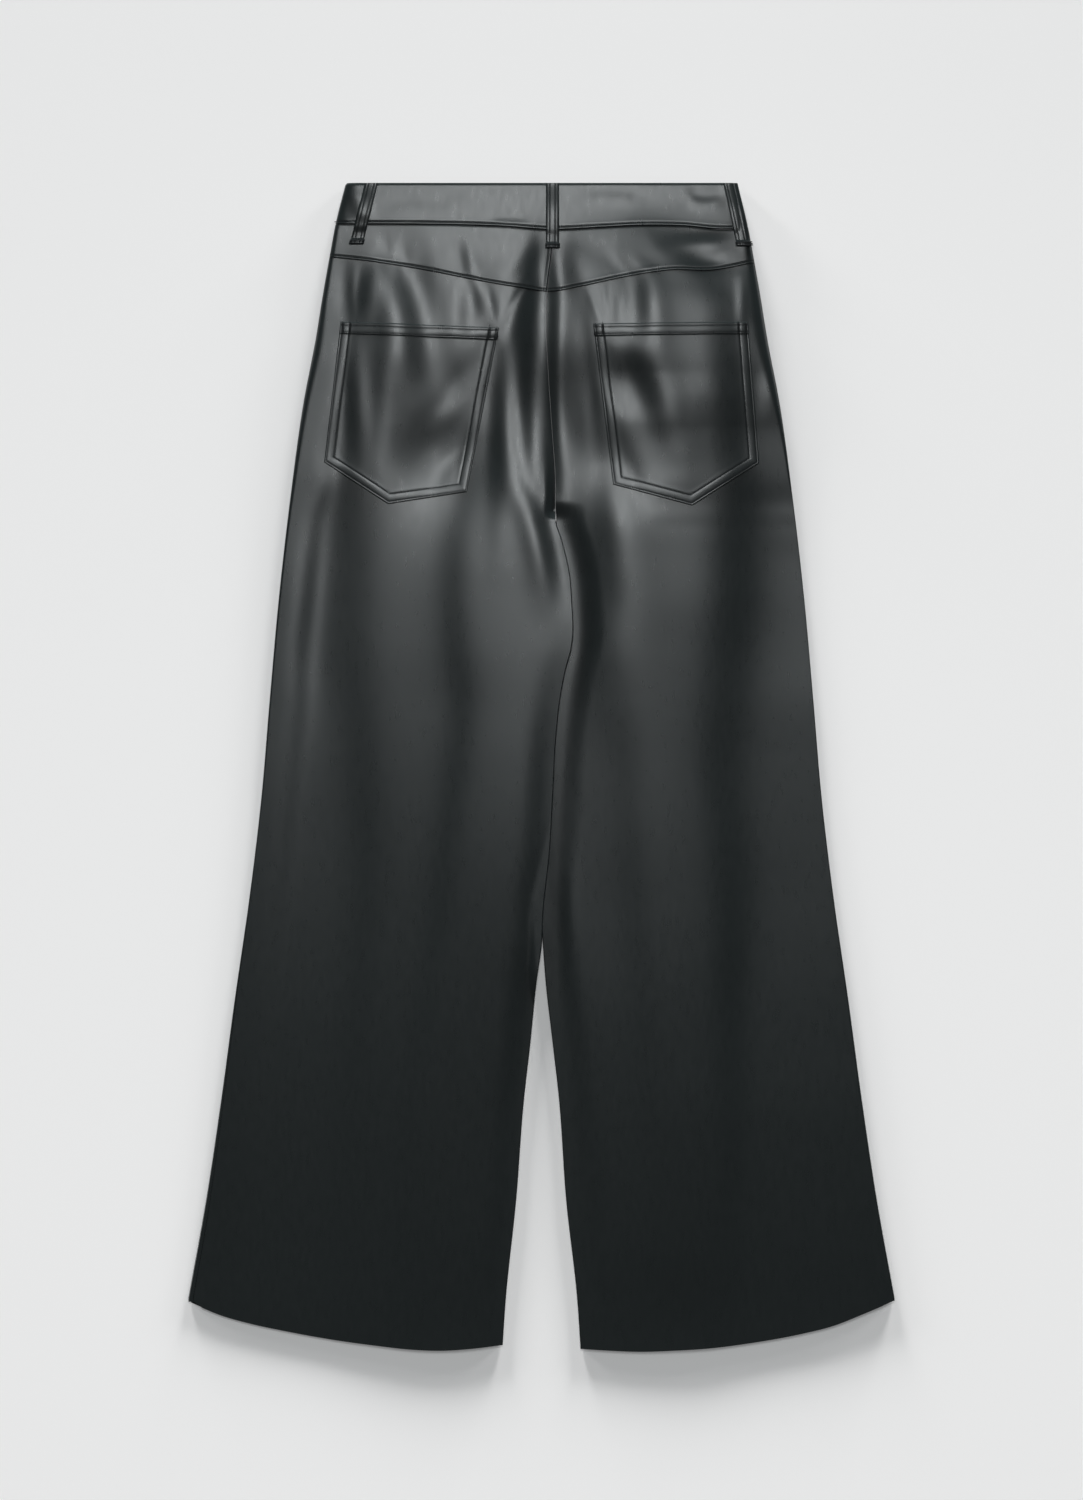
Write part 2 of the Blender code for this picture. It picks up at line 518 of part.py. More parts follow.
def back_leg(side):
    """Back leg panel: yoke seam to hem, centre seam or inseam to side seam."""
    wrap = curve(WRAP, column_of(side), np.array(BACK_ROWS, float))[:, None]
    inner_steps = (BACK_INNER_STEPS[0] - 0.25,) + BACK_INNER_STEPS
    side_steps = (BACK_SIDE_STEPS[0] - 0.25,) + BACK_SIDE_STEPS
    plan = column_plan(inner_steps, BACK_MIDDLE, side_steps)
    x, drop = place_grid(side, plan, BACK_ROWS, lambda at: yoke_seam(at) + SEAM_GAP / 2,
                         lambda at: hem_line(side, at), ROW_FADE)
    count = len(side_steps)
    fading = np.minimum(1.0, 1.03 - np.array(side_steps[::-1]) / WRAP_FADE)
    x[:, -count:] -= side * wrap * fading
    butted = 1 - ease((drop[:, :2] - CROTCH_DROP) / CROTCH_OPENS)
    x[:, :2] -= side * (BACK_INNER_STEPS[0] - SEAM_GAP / 2) * butted
    outer = stack(x, drop, back_height(side, x, drop))
    normal = square_rows(square_center_seam(outward(outer, True), drop, 1))
    inner = outer - WALL * normal
    make_wall("back_leg_" + column_of(side), outer[:, 1:-1], inner[:, 1:-1])


def yoke(side):
    """Back yoke half: a strip between the waist seam and the yoke seam."""
    inner_steps = (SEAM_GAP / 2,) + BACK_INNER_STEPS[1:]
    side_steps = (0.55,) + tuple(step + 0.5 for step in BACK_SIDE_STEPS)
    plan = column_plan(inner_steps, BACK_MIDDLE, side_steps)
    x, drop = place_grid(side, plan, YOKE_DROPS, lambda at: waist_seam(at) + SEAM_GAP / 2,
                         lambda at: yoke_seam(at) - SEAM_GAP / 2,
                         YOKE_DROPS[-1] - YOKE_DROPS[0])
    outer = stack(x, drop, back_height(side, x, drop, YOKE_PROUD))
    normal = square_rows(square_center_seam(outward(outer, True), drop, 0))
    inner = outer - WALL * normal
    make_wall("yoke_" + column_of(side), outer[:, :-1], inner[:, :-1])


def edge_turn(side, drop, edge, wrap, inwards):
    """Columns of a front panel round a rolled edge, from past its seam to the table.

    inwards is +1 or -1, the way from the edge into the leg.
    """
    columns = []
    for reach in (wrap + 0.4, wrap, wrap * 0.4):
        x = edge + inwards * reach
        columns.append((x, back_height(side, x, drop)))
    for angle in np.radians((90.0, 45.0, 0.0)):
        x = edge + inwards * ROLL * (1 - np.sin(angle))
        columns.append((x, underside(side, x, drop) + ROLL * (1 - np.cos(angle))))
    return columns


def front_leg(side):
    """Front leg panel: it lies on the table and comes up round the edges."""
    steps = FRONT_INNER_STEPS[side]
    plan = column_plan(steps, FRONT_MIDDLE[side], FRONT_SIDE_STEPS)
    x, drop = place_grid(side, plan, FRONT_ROWS,
                         lambda at: front_waist_seam(at) + SEAM_GAP / 2,
                         lambda at: hem_line(side, at), ROW_FADE)
    first, last = drop[:, 0], drop[:, -1]
    x, drop = x[:, 1:-1], drop[:, 1:-1]
    wrap = curve(WRAP, column_of(side), last)
    at_side = edge_turn(side, last, side_edge(side, last), wrap, -side)
    at_inner = edge_turn(side, first, inner_edge(side, first), np.full_like(first, 0.5), side)
    opened = ease((first - CROTCH_DROP) / CROTCH_OPENS)
    flat = (-0.25, SEAM_GAP / 2, 0.6, 1.1, 1.8, 2.6)
    butted = []
    for (edge_x, edge_z), reach in zip(at_inner, flat):
        flat_x = inner_edge(side, first) + side * reach
        flat_z = underside(side, flat_x, first)
        butted.append((flat_x + (edge_x - flat_x) * opened, flat_z + (edge_z - flat_z) * opened))
    z = underside(side, x, drop)
    all_x = np.column_stack([c[0] for c in butted] + [x] + [c[0] for c in reversed(at_side)])
    all_z = np.column_stack([c[1] for c in butted] + [z] + [c[1] for c in reversed(at_side)])
    turns = len(at_side)
    all_drop = np.column_stack([first] * turns + [drop] + [last] * turns)
    outer = stack(all_x, all_drop, all_z)
    normal = square_rows(square_center_seam(outward(outer, False), all_drop, 1))
    inner = outer - WALL * normal
    make_wall("front_leg_" + column_of(side), outer[:, 1:-1], inner[:, 1:-1])


def band_column(side, part, value):
    """One column of the band: on its underside, round its side edge or on its back."""
    shares = np.array(BAND_SHARES)
    start = inner_edge(side, 0.0) + side * SEAM_GAP / 2
    drop = shares * BAND_DEPTH
    for _ in range(4):
        half_width = curve(SIDE_EDGE, "half_width", drop)
        if part == "under":
            x = start + (side * (half_width - BAND_UNDER_REACH) - start) * value
        elif part == "turn":
            x = side * (half_width - BAND_ROLL * (1 - np.sin(value)))
        elif part == "over":
            x = side * (half_width - value)
        else:
            x = side * (half_width - BAND_OVER_REACH) * (1 - value)
        seam = waist_seam(x) if part in ("over", "across") else front_waist_seam(x)
        drop = shares * (seam - SEAM_GAP / 2)
    if part == "under":
        z = np.zeros_like(x)
    elif part == "turn":
        z = np.full_like(x, BAND_ROLL * (1 - np.cos(value)))
    else:
        z = band_height(x, drop)
    return stack(x, drop, z)


def waistband():
    """One double strip round the waist, whose ends meet at the hidden centre front."""
    right, left = ([band_column(side, part, value)
                    for part, values in BAND_COLUMNS for value in values]
                   for side in (1, -1))
    outer = np.stack(right + left[-2::-1], axis=1)
    normal = np.cross(slope_of(outer, 1), slope_of(outer, 0))
    normal /= np.linalg.norm(normal, axis=-1, keepdims=True)
    if normal[0, 0, 2] > 0:
        normal = -normal
    normal[:, 0] = normal[:, -1] = (0.0, 0.0, -1.0)
    inner = outer - BAND_WALL * square_rows(normal)
    make_wall("waistband", outer, inner)


def patch_pocket(pocket):
    """Patch on the back leg, made from the panel's surface moved out, with a raised hem."""
    corners = [np.array(corner) for corner in
               (pocket.top_inner, pocket.top_outer, pocket.low_inner, pocket.point,
                pocket.low_outer)]
    top_inner, top_outer, low_inner, point, low_outer = corners
    columns = 12
    shares = [i / columns for i in range(columns + 1)]
    nearest = min(shares[1:-1], key=lambda share: abs(share - pocket.point_share))
    shares[shares.index(nearest)] = pocket.point_share
    depth = point[1] - (top_inner[1] + top_outer[1]) / 2
    hem = POCKET_HEM / depth
    downs = [0.0, 0.5 * hem, hem - 0.003, hem + 0.006]
    downs += [hem + 0.006 + (1 - hem - 0.006) * i / 10 for i in range(1, 11)]
    grid = np.zeros((len(downs), len(shares), 2))
    for j, share in enumerate(shares):
        top = top_inner + (top_outer - top_inner) * share
        if share <= pocket.point_share:
            low = low_inner + (point - low_inner) * share / pocket.point_share
        else:
            past = (share - pocket.point_share) / (1 - pocket.point_share)
            low = point + (low_outer - point) * past
        for i, down in enumerate(downs):
            grid[i, j] = top + (low - top) * down
    x, drop = grid[..., 0], grid[..., 1]
    panel = stack(x, drop, back_height(pocket.side, x, drop))
    normal = outward(panel, True)
    rise = np.where(np.arange(len(downs)) < 3, POCKET_HEM_RISE, 0.0)[:, None, None]
    low_skin = panel + POCKET_GAP * normal
    top_skin = panel + (POCKET_GAP + WALL + rise) * normal
    make_wall(pocket.name, top_skin, low_skin)


def belt_loop(loop):
    """Folded strip over the waistband: sewn at the band's top edge, foot on the yoke."""
    side = 1 if loop.x_foot > 0 else -1
    foot_share = 1 - LOOP_FOOT / loop.drop_foot
    shares = np.array((0.0, 0.05, 0.16, 0.3, 0.45, 0.6, 0.7, 0.78, 0.85,
                       foot_share - 0.012, foot_share + 0.012, 1.0))
    across = np.array((-0.5, -0.3, 0.0, 0.3, 0.5)) * LOOP_WIDTH
    along = LOOP_TOP + (loop.drop_foot - LOOP_TOP) * shares
    drop = np.repeat(along[:, None], len(across), axis=1)
    x = (loop.x_top + (loop.x_foot - loop.x_top) * shares)[:, None] + across[None, :]
    limit = curve(SIDE_EDGE, "half_width", drop) - 0.4
    x = np.clip(x, -limit, limit)
    seam = waist_seam(x)
    on_band = band_height(x, np.minimum(drop, seam))
    on_yoke = back_height(side, x, drop, YOKE_PROUD)
    past_seam = ease((drop - seam) / LOOP_SETTLES)
    carrier = on_yoke + np.maximum(on_band - on_yoke, 0.0) * (1 - past_seam)
    bow = LOOP_BOW * np.sin(np.pi * np.clip(shares / foot_share, 0.0, 1.0)) ** 1.5
    surface = stack(x, drop, carrier)
    normal = outward(surface, True)
    foot = np.where(shares > foot_share, LOOP_FOOT_RISE, 0.0)
    low_skin = surface + (SEAM_GAP + bow)[:, None, None] * normal
    top_skin = low_skin + (LOOP_THICKNESS + foot)[:, None, None] * normal
    make_wall(loop.name, top_skin, low_skin)


for old in list(bpy.data.objects):
    bpy.data.objects.remove(old, do_unlink=True)

waistband()
for leg_side in (-1, 1):
    yoke(leg_side)
    back_leg(leg_side)
    front_leg(leg_side)
for patch in POCKETS:
    patch_pocket(patch)
for strip in LOOPS:
    belt_loop(strip)

garment = bpy.data.objects.new("trousers", None)
bpy.context.collection.objects.link(garment)
for piece in list(bpy.context.collection.objects):
    if piece.type == "MESH":
        piece.parent = garment
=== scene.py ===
"""Looks of the faux leather wide-leg trousers, laid flat with the back up."""
from collections import namedtuple

import bmesh
import bpy
import numpy as np
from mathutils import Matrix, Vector


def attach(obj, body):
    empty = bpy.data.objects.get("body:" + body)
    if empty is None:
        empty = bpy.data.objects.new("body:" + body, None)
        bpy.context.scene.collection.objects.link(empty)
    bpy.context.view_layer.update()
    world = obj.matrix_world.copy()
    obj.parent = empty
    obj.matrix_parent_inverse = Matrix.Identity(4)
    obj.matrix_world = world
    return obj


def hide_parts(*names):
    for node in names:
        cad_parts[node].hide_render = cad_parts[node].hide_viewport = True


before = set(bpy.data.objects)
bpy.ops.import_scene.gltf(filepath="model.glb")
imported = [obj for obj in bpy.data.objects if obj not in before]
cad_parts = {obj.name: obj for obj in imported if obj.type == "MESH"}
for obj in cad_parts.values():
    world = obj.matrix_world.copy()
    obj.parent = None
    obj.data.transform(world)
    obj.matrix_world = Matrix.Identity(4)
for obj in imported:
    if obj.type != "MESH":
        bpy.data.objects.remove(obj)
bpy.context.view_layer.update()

MM = 0.001


# ---------------------------------------------------------------------------------------
# Camera, table and light. The garment lies on a pale table and is seen straight from
# above. One large soft light hangs over the waist end, so that the flats of the cloth
# shine there and the hems stay dark. Low suns only lay soft shadows beyond the hems.
# ---------------------------------------------------------------------------------------
CAMERA_HEIGHT = 4.0
FRAME_LENGTH = 1.35          # what the photograph covers along the garment, in metres
FRAME_CENTER = (0.0, 0.01575)
CLOTH_PLANE = 0.006
SENSOR_HEIGHT = 24.0



def add_object(name, data):
    """Object made of its data, in the scene."""
    made = bpy.data.objects.new(name, data)
    bpy.context.scene.collection.objects.link(made)
    return made


def wire(links, *joints):
    """Links of a node tree, each given as source, output, target and input."""
    for source, output, target, socket in joints:
        links.new(source.outputs[output], target.inputs[socket])


view = bpy.data.cameras.new("view from above")
view.sensor_fit = "VERTICAL"
view.sensor_height = SENSOR_HEIGHT
view.lens = SENSOR_HEIGHT * (CAMERA_HEIGHT - CLOTH_PLANE) / FRAME_LENGTH
view.clip_end = 50.0
camera = add_object("view from above", view)
camera.location = (*FRAME_CENTER, CAMERA_HEIGHT)
bpy.context.scene.camera = camera
bpy.context.scene.view_settings.view_transform = "Standard"

TABLE_HALF = 8.0
TABLE_DROP = 0.0006          # the table's top lies this far under the cloth
TABLE_COLOR = (0.808, 0.80, 0.797, 1.0)
GLOW_AT_WAIST, GLOW_AT_HEM = 0.09, 0.16   # evens out the fall of the light along the table
GLOW_REACH = 0.65            # where along the garment the glow stops changing

table_mesh = bpy.data.meshes.new("table")
table_mesh.from_pydata(
    [(-TABLE_HALF, -TABLE_HALF, -TABLE_DROP), (TABLE_HALF, -TABLE_HALF, -TABLE_DROP),
     (TABLE_HALF, TABLE_HALF, -TABLE_DROP), (-TABLE_HALF, TABLE_HALF, -TABLE_DROP)],
    [], [(0, 1, 2, 3)])
table = add_object("table", table_mesh)
table_finish = bpy.data.materials.new("pale matt table")
table_finish.use_nodes = True
table_nodes = table_finish.node_tree.nodes
table_links = table_finish.node_tree.links
table_shader = table_nodes["Principled BSDF"]
table_shader.inputs["Base Color"].default_value = TABLE_COLOR
table_shader.inputs["Roughness"].default_value = 0.9
table_shader.inputs["Specular IOR Level"].default_value = 0.1
table_shader.inputs["Emission Color"].default_value = (1.0, 1.0, 1.0, 1.0)
table_place = table_nodes.new("ShaderNodeTexCoord")
table_axes = table_nodes.new("ShaderNodeSeparateXYZ")
table_glow = table_nodes.new("ShaderNodeMapRange")
for socket, value in (("From Min", GLOW_REACH), ("From Max", -GLOW_REACH),
                      ("To Min", GLOW_AT_WAIST), ("To Max", GLOW_AT_HEM)):
    table_glow.inputs[socket].default_value = value
wire(table_links, (table_place, "Object", table_axes, "Vector"),
     (table_axes, "Y", table_glow, "Value"),
     (table_glow, "Result", table_shader, "Emission Strength"))
table_mesh.materials.append(table_finish)


def add_light(name, kind, place, aim, strength):
    """Light at a place, turned to an aim."""
    lamp = bpy.data.lights.new(name, kind)
    lamp.energy = strength
    light = add_object(name, lamp)
    light.location = place
    light.rotation_euler = (Vector(aim) - Vector(place)).to_track_quat("-Z", "Y").to_euler()
    light.visible_camera = False
    return light


WAIST_LIGHT_PLACE, WAIST_LIGHT_AIM = (0.0, 0.85, 3.0), (0.0, 0.45, 0.0)
WAIST_LIGHT_SIZE = (0.60, 1.0)
WAIST_LIGHT_WATTS = 25.0
WAIST_LIGHT_COLOR = (0.96, 1.0, 1.01)

waist_light = add_light("soft light over the waist", "AREA", WAIST_LIGHT_PLACE,
                        WAIST_LIGHT_AIM, WAIST_LIGHT_WATTS)
waist_light.data.shape = "RECTANGLE"
waist_light.data.size, waist_light.data.size_y = WAIST_LIGHT_SIZE
waist_light.data.color = WAIST_LIGHT_COLOR

LOW_SUNS = ((-50.0, 1.9), (-17.0, 6.1), (17.0, 6.1), (50.0, 1.9))   # azimuth and strength
LOW_SUN_DISTANCE, LOW_SUN_HEIGHT = 6.0, 0.62
LOW_SUN_SPREAD = 0.2         # wide enough for shadows with soft edges

for low_angle, low_strength in LOW_SUNS:
    low_angle = np.radians(low_angle)
    low_light = add_light("low soft light", "SUN",
                          (LOW_SUN_DISTANCE * np.sin(low_angle),
                           LOW_SUN_DISTANCE * np.cos(low_angle), LOW_SUN_HEIGHT),
                          (0.0, 0.0, 0.0), low_strength)
    low_light.data.angle = LOW_SUN_SPREAD
    low_light.visible_glossy = False

ROOM_COLOR = (0.78, 0.785, 0.79, 1.0)
ROOM_SHADE = (0.09, 0.095, 0.097, 1.0)
room = bpy.data.worlds.new("studio room")
room.use_nodes = True
room_nodes = room.node_tree.nodes
room_nodes.clear()
ray = room_nodes.new("ShaderNodeLightPath")
seen = room_nodes.new("ShaderNodeBackground")
seen.inputs["Color"].default_value = ROOM_COLOR
lit = room_nodes.new("ShaderNodeBackground")
lit.inputs["Color"].default_value = ROOM_SHADE
either = room_nodes.new("ShaderNodeMixShader")
room_out = room_nodes.new("ShaderNodeOutputWorld")
wire(room.node_tree.links, (ray, "Is Camera Ray", either, "Fac"),
     (lit, "Background", either, 1),
     (seen, "Background", either, 2),
     (either, "Shader", room_out, "Surface"))
bpy.context.scene.world = room


# ---------------------------------------------------------------------------------------
# Front legs. Two panels of faux leather with a knit backing, waist seam to hem, joined at
# centre front and lying on the table. They come up round the side edges and the inner
# edges, where they are seamed to the back legs.
# ---------------------------------------------------------------------------------------
LENGTH = 1052.0             # all sizes from here on are in millimetres
WALL = 1.3
SEAM_GAP = 0.3
ROLL = 1.8                  # radius of the turn where an edge leaves the table
TURN_RADIUS = 9.0
CROTCH_DROP = 296.0
CROTCH_OPENS = 12.0
PRESSED = 4.6               # right leg's height where the left leg lies on it
LIFT = 5.1                  # left leg's underside where it lies on the right leg
CREASE_FADE = 0.45          # share of a crease's length over which either end fades out
ROW_FADE = 160.0            # how far rows of points bend along with a seam or the hem

# Where the left leg lies on the right one: the drops between which it does, how far it
# takes to open and to close there, and how it fades in across from an inner edge
Overlap = namedtuple("Overlap", "starts opens ends closes reach fade")
LIFTED = Overlap(294.0, 9.0, 705.0, 60.0, 26.0, 20.0)
COVERED = Overlap(286.0, 18.0, 690.0, 90.0, 27.0, 26.0)
BUTT_REACH, BUTT_FADE = 9.0, 8.0   # how near the centre seam the left leg stays down

SideRow = namedtuple("SideRow", "drop half_width")
SIDE_EDGE = [SideRow(*row) for row in (
    (0, 176.4), (32, 184.5), (68, 191.3), (104, 197.6), (140, 203.4), (194, 213.8),
    (284, 226.4), (374, 236.7), (464, 244.8), (554, 252.5), (644, 263.3), (734, 276.3),
    (824, 288.5), (914, 302), (1004, 318.2))]
InnerRow = namedtuple("InnerRow", "drop left right")
INNER_EDGE = [InnerRow(*row) for row in (
    (0, 9.5, 9.5), (60, 9.5, 9.5), (99, 5, 5), (126, 4.2, 4.2), (160, 5.5, 5.5),
    (222, 9.5, 9.5), (267, 12.5, 12.5), (292, 12.6, 12.6), (304, 13, 13), (323, 19, 8),
    (353, 25.7, -4), (379, 27.7, -10), (404, 28.6, -14), (420, 26.8, -15.4), (436, 22.4, -16),
    (461, 17.5, -15.5), (490, 14, -14), (552, 10.4, -9.5), (603, 7.4, -5.5), (654, 1.8, -1),
    (687, 0.2, 1.2), (717, -4, 3.4), (771, -9.5, 9.5), (825, -15.6, 15.6), (915, -22.6, 22),
    (1005, -32, 32), (1052, -35.2, 35.2))]
WaistSeamRow = namedtuple("WaistSeamRow", "x drop")
WAIST_SEAM = [WaistSeamRow(*row) for row in (
    (-186, 37.4), (-100, 37.8), (-37, 39.4), (10, 42.4), (53, 40.4), (90, 38.6), (129, 39.2),
    (160, 42), (188, 41.4))]
YokeSeamRow = namedtuple("YokeSeamRow", "x drop")
YOKE_SEAM = [YokeSeamRow(*row) for row in (
    (-192, 67), (-154, 71), (-100, 79.7), (-60, 87.8), (-20, 94.6), (5, 98.5), (35, 94),
    (75, 85.5), (116, 79.4), (154, 79.2), (192, 72.3))]
HemRow = namedtuple("HemRow", "from_center left right")
HEM = [HemRow(*row) for row in (
    (35, 1046, 1049.5), (60, 1049, 1051), (90, 1051, 1052), (118, 1050, 1051),
    (150, 1046.5, 1049), (190, 1041, 1044), (234, 1033, 1036), (262, 1027, 1029),
    (290, 1019, 1018), (318, 1007, 1006))]
LayRow = namedtuple("LayRow", "drop height")
LAY = [LayRow(*row) for row in (
    (0, 7.2), (60, 8.1), (110, 8.9), (150, 9.2), (180, 8.9), (220, 8.2), (260, 7.2),
    (290, 6.3), (330, 5.4), (380, 4.9), (430, 4.8), (700, 4.8), (1052, 4.6))]
WrapRow = namedtuple("WrapRow", "drop left right")
WRAP = [WrapRow(*row) for row in (
    (0, 0.5, 0.5), (300, 0.5, 0.5), (540, 0.5, 0.5), (640, 0.7, 0.5), (820, 2.2, 0.7),
    (960, 4, 0.9), (1052, 4.4, 1))]

# Long folds of the back. Each is a rise or a fall of the cloth on the way out from the
# centre seam: x is its middle, width how far it reaches across and rise its height.
FoldRow = namedtuple("FoldRow", "drop x width rise")
Fold = namedtuple("Fold", "name side rows")
FOLDS = [Fold(name, side, [FoldRow(*row) for row in rows]) for name, side, rows in (
    ("left seat crease", -1, (
        (29, -72, 14, 0), (65, -68, 14, -0.9), (87, -63, 15, -1.4), (105, -56, 17, -1.7),
        (132, -46, 18, -1.5), (150, -38, 20, -1.2), (195, -37, 20, -1.1),
        (240, -40, 20, -1.1), (267, -43, 20, -1), (303, -43, 22, -0.8), (348, -44, 22, -0.3),
        (420, -44, 22, 0))),
    ("left seat swell", -1, (
        (35, -133, 24, 0), (65, -130, 26, 1.2), (83, -125, 32, 2.2), (105, -118, 38, 3.2),
        (150, -111, 44, 3.5), (177, -104, 54, 3.3), (195, -97, 62, 3.1), (240, -86, 80, 2.6),
        (267, -81, 95, 2.3), (303, -78, 105, 2.1), (375, -76, 105, 1.9), (465, -75, 105, 1.8),
        (600, -86, 100, 1.4), (735, -105, 90, 0.9), (1046, -127, 80, 0))),
    ("left hip crease", -1, (
        (60, -162, 18, 0), (92, -163, 18, -0.6), (105, -164, 18, -0.9), (123, -169, 22, -1.2),
        (150, -174, 26, -1.8), (195, -171, 30, -2.5), (240, -169, 34, -2.7),
        (267, -175, 40, -2.8), (303, -174, 50, -3.1), (339, -171, 56, -3.4),
        (375, -171, 58, -3.6), (420, -171, 60, -3.7), (465, -167, 60, -3.6),
        (519, -163, 58, -3.4), (600, -158, 54, -3.2), (681, -162, 52, -2.7),
        (735, -166, 50, -2.3), (843, -172, 50, -1.8), (951, -177, 50, -1.3),
        (1046, -180, 50, -0.8))),
    ("left hip fall", -1, (
        (2, -153, 60, 0), (51, -159, 60, -0.3), (105, -177, 60, -0.8), (150, -186, 60, -0.7),
        (195, -190, 60, -0.4), (267, -195, 60, 0))),
    ("left side seam allowance", -1, (
        (96, -171, 18, 0), (150, -179, 20, 1.2), (195, -183, 22, 1.6), (240, -191, 22, 1.9),
        (267, -191, 24, 2.2), (303, -201, 26, 2.6), (339, -206, 27, 2.8),
        (375, -210, 28, 2.8), (420, -216, 28, 2.7), (465, -217, 28, 2.6),
        (519, -222, 28, 2.5), (600, -230, 28, 2.2), (681, -240, 28, 1.7),
        (735, -246, 26, 1.3), (843, -258, 26, 0.8), (1046, -271, 26, 0))),
    ("climb from the centre seam", 1, (
        (11, 27, 30, 0), (51, 27, 34, 1.8), (65, 24, 38, 2.5), (105, 32, 46, 4.1),
        (150, 33, 51, 4.6), (195, 30, 53, 4.8), (240, 32, 55, 5.2), (267, 33, 57, 5.3),
        (303, 34, 57, 5.3), (339, 36, 55, 5.1), (375, 38, 53, 4.7), (420, 40, 48, 4.1),
        (465, 36, 44, 3.6), (519, 31, 40, 3), (600, 26, 36, 2.4), (645, 22, 32, 2.3),
        (681, 22, 30, 2.5), (735, 27, 30, 2.9), (789, 33, 30, 2.9), (843, 38, 32, 2.7),
        (951, 49, 34, 2), (1046, 57, 34, 1))),
    ("right yoke ripple", 1, (
        (15, 72, 22, 0), (60, 73, 22, 1), (83, 74, 22, 0.9), (105, 69, 24, 0.6),
        (146, 66, 24, 0))),
    ("right pocket flank", 1, (
        (33, 96, 32, 0), (65, 95, 32, 0.9), (87, 93, 34, 2.2), (105, 90, 36, 3.2),
        (128, 85, 42, 3.9), (150, 80, 46, 4.2), (173, 90, 44, 3.9), (195, 102, 40, 3.2),
        (222, 108, 38, 1.8), (240, 113, 36, 1), (267, 125, 36, 0.3), (294, 129, 36, 0))),
    ("right pocket streak", 1, (
        (168, 54, 22, 0), (195, 58, 22, 0.8), (218, 68, 24, 1.5), (240, 77, 26, 1.8),
        (267, 88, 24, 1.5), (294, 95, 24, 0.5), (312, 98, 24, 0))),
    ("right thigh flank", 1, (
        (218, 58, 30, 0), (249, 58, 30, 1.2), (267, 57, 32, 2.2), (285, 57, 34, 3.4),
        (303, 58, 38, 4.8), (339, 61, 46, 5.9), (375, 63, 56, 6.4), (420, 60, 70, 6.4),
        (465, 67, 72, 6.2), (519, 76, 66, 5.8), (600, 80, 60, 5.2), (681, 86, 54, 4.4),
        (735, 90, 52, 3.6), (843, 98, 50, 2.8), (960, 102, 50, 1.8), (1046, 107, 50, 1))),
    ("right plateau fall", 1, (
        (15, 104, 44, 0), (38, 114, 44, -0.5), (58, 126, 44, -1.6), (71, 134, 46, -2.6),
        (87, 148, 52, -2.7), (105, 162, 50, -3.1), (150, 167, 52, -4.2), (195, 175, 50, -4.6),
        (240, 176, 50, -5.4), (267, 180, 50, -5.7), (303, 177, 54, -6.3), (339, 176, 56, -7),
        (375, 176, 58, -7.2), (420, 171, 62, -6.8), (465, 167, 64, -6.2),
        (519, 163, 60, -6.2), (600, 169, 54, -6.2), (681, 171, 46, -5.8),
        (735, 169, 42, -5.2), (789, 170, 42, -4.6), (843, 171, 42, -4), (960, 168, 42, -2.6),
        (1046, 168, 42, -1.4))),
    ("right seat sinks under the pocket", 1, (
        (110, 72, 90, 0), (140, 72, 90, -0.2), (175, 73, 92, -1.2), (210, 75, 96, -2.3),
        (245, 77, 100, -3.4), (267, 79, 104, -4.1), (285, 80, 106, -4.7),
        (303, 80, 110, -5.1), (339, 82, 110, -5.2), (375, 84, 110, -4.9),
        (420, 86, 110, -4.5), (465, 88, 110, -3.9), (519, 90, 110, -3), (600, 92, 110, -1.8),
        (645, 94, 110, -1.3), (681, 96, 110, -1), (735, 98, 110, -0.6), (789, 100, 110, -0.3),
        (843, 102, 110, 0))),
    ("right hip fall", 1, (
        (2, 143, 70, 0), (69, 168, 70, -0.4), (105, 177, 70, -0.9), (150, 188, 66, -0.9),
        (240, 201, 66, -0.7), (303, 206, 66, -0.6), (375, 211, 66, -0.6),
        (465, 218, 66, -0.4), (600, 228, 60, 0.1), (681, 233, 60, 0.5), (789, 246, 60, 0.5),
        (1046, 260, 60, 0.2)))
)]

# The seat stands up in a narrow ridge over the centre seam, between two flanks
RidgeRow = namedtuple("RidgeRow", "drop left right height")
SEAM_RIDGE = [RidgeRow(*row) for row in (
    (15, -4, 10, 0), (60, -7, 10, 2), (83, -9, 10, 3.3), (105, -11, 11, 4),
    (130, -13, 11, 4.3), (150, -14, 11, 4.2), (195, -14, 11, 3.8), (231, -12, 12, 3.4),
    (267, -9, 14, 2.8), (290, -4, 16, 1.3), (308, 0, 17, 0))]
RIDGE_FLANKS = (20.0, 19.0)

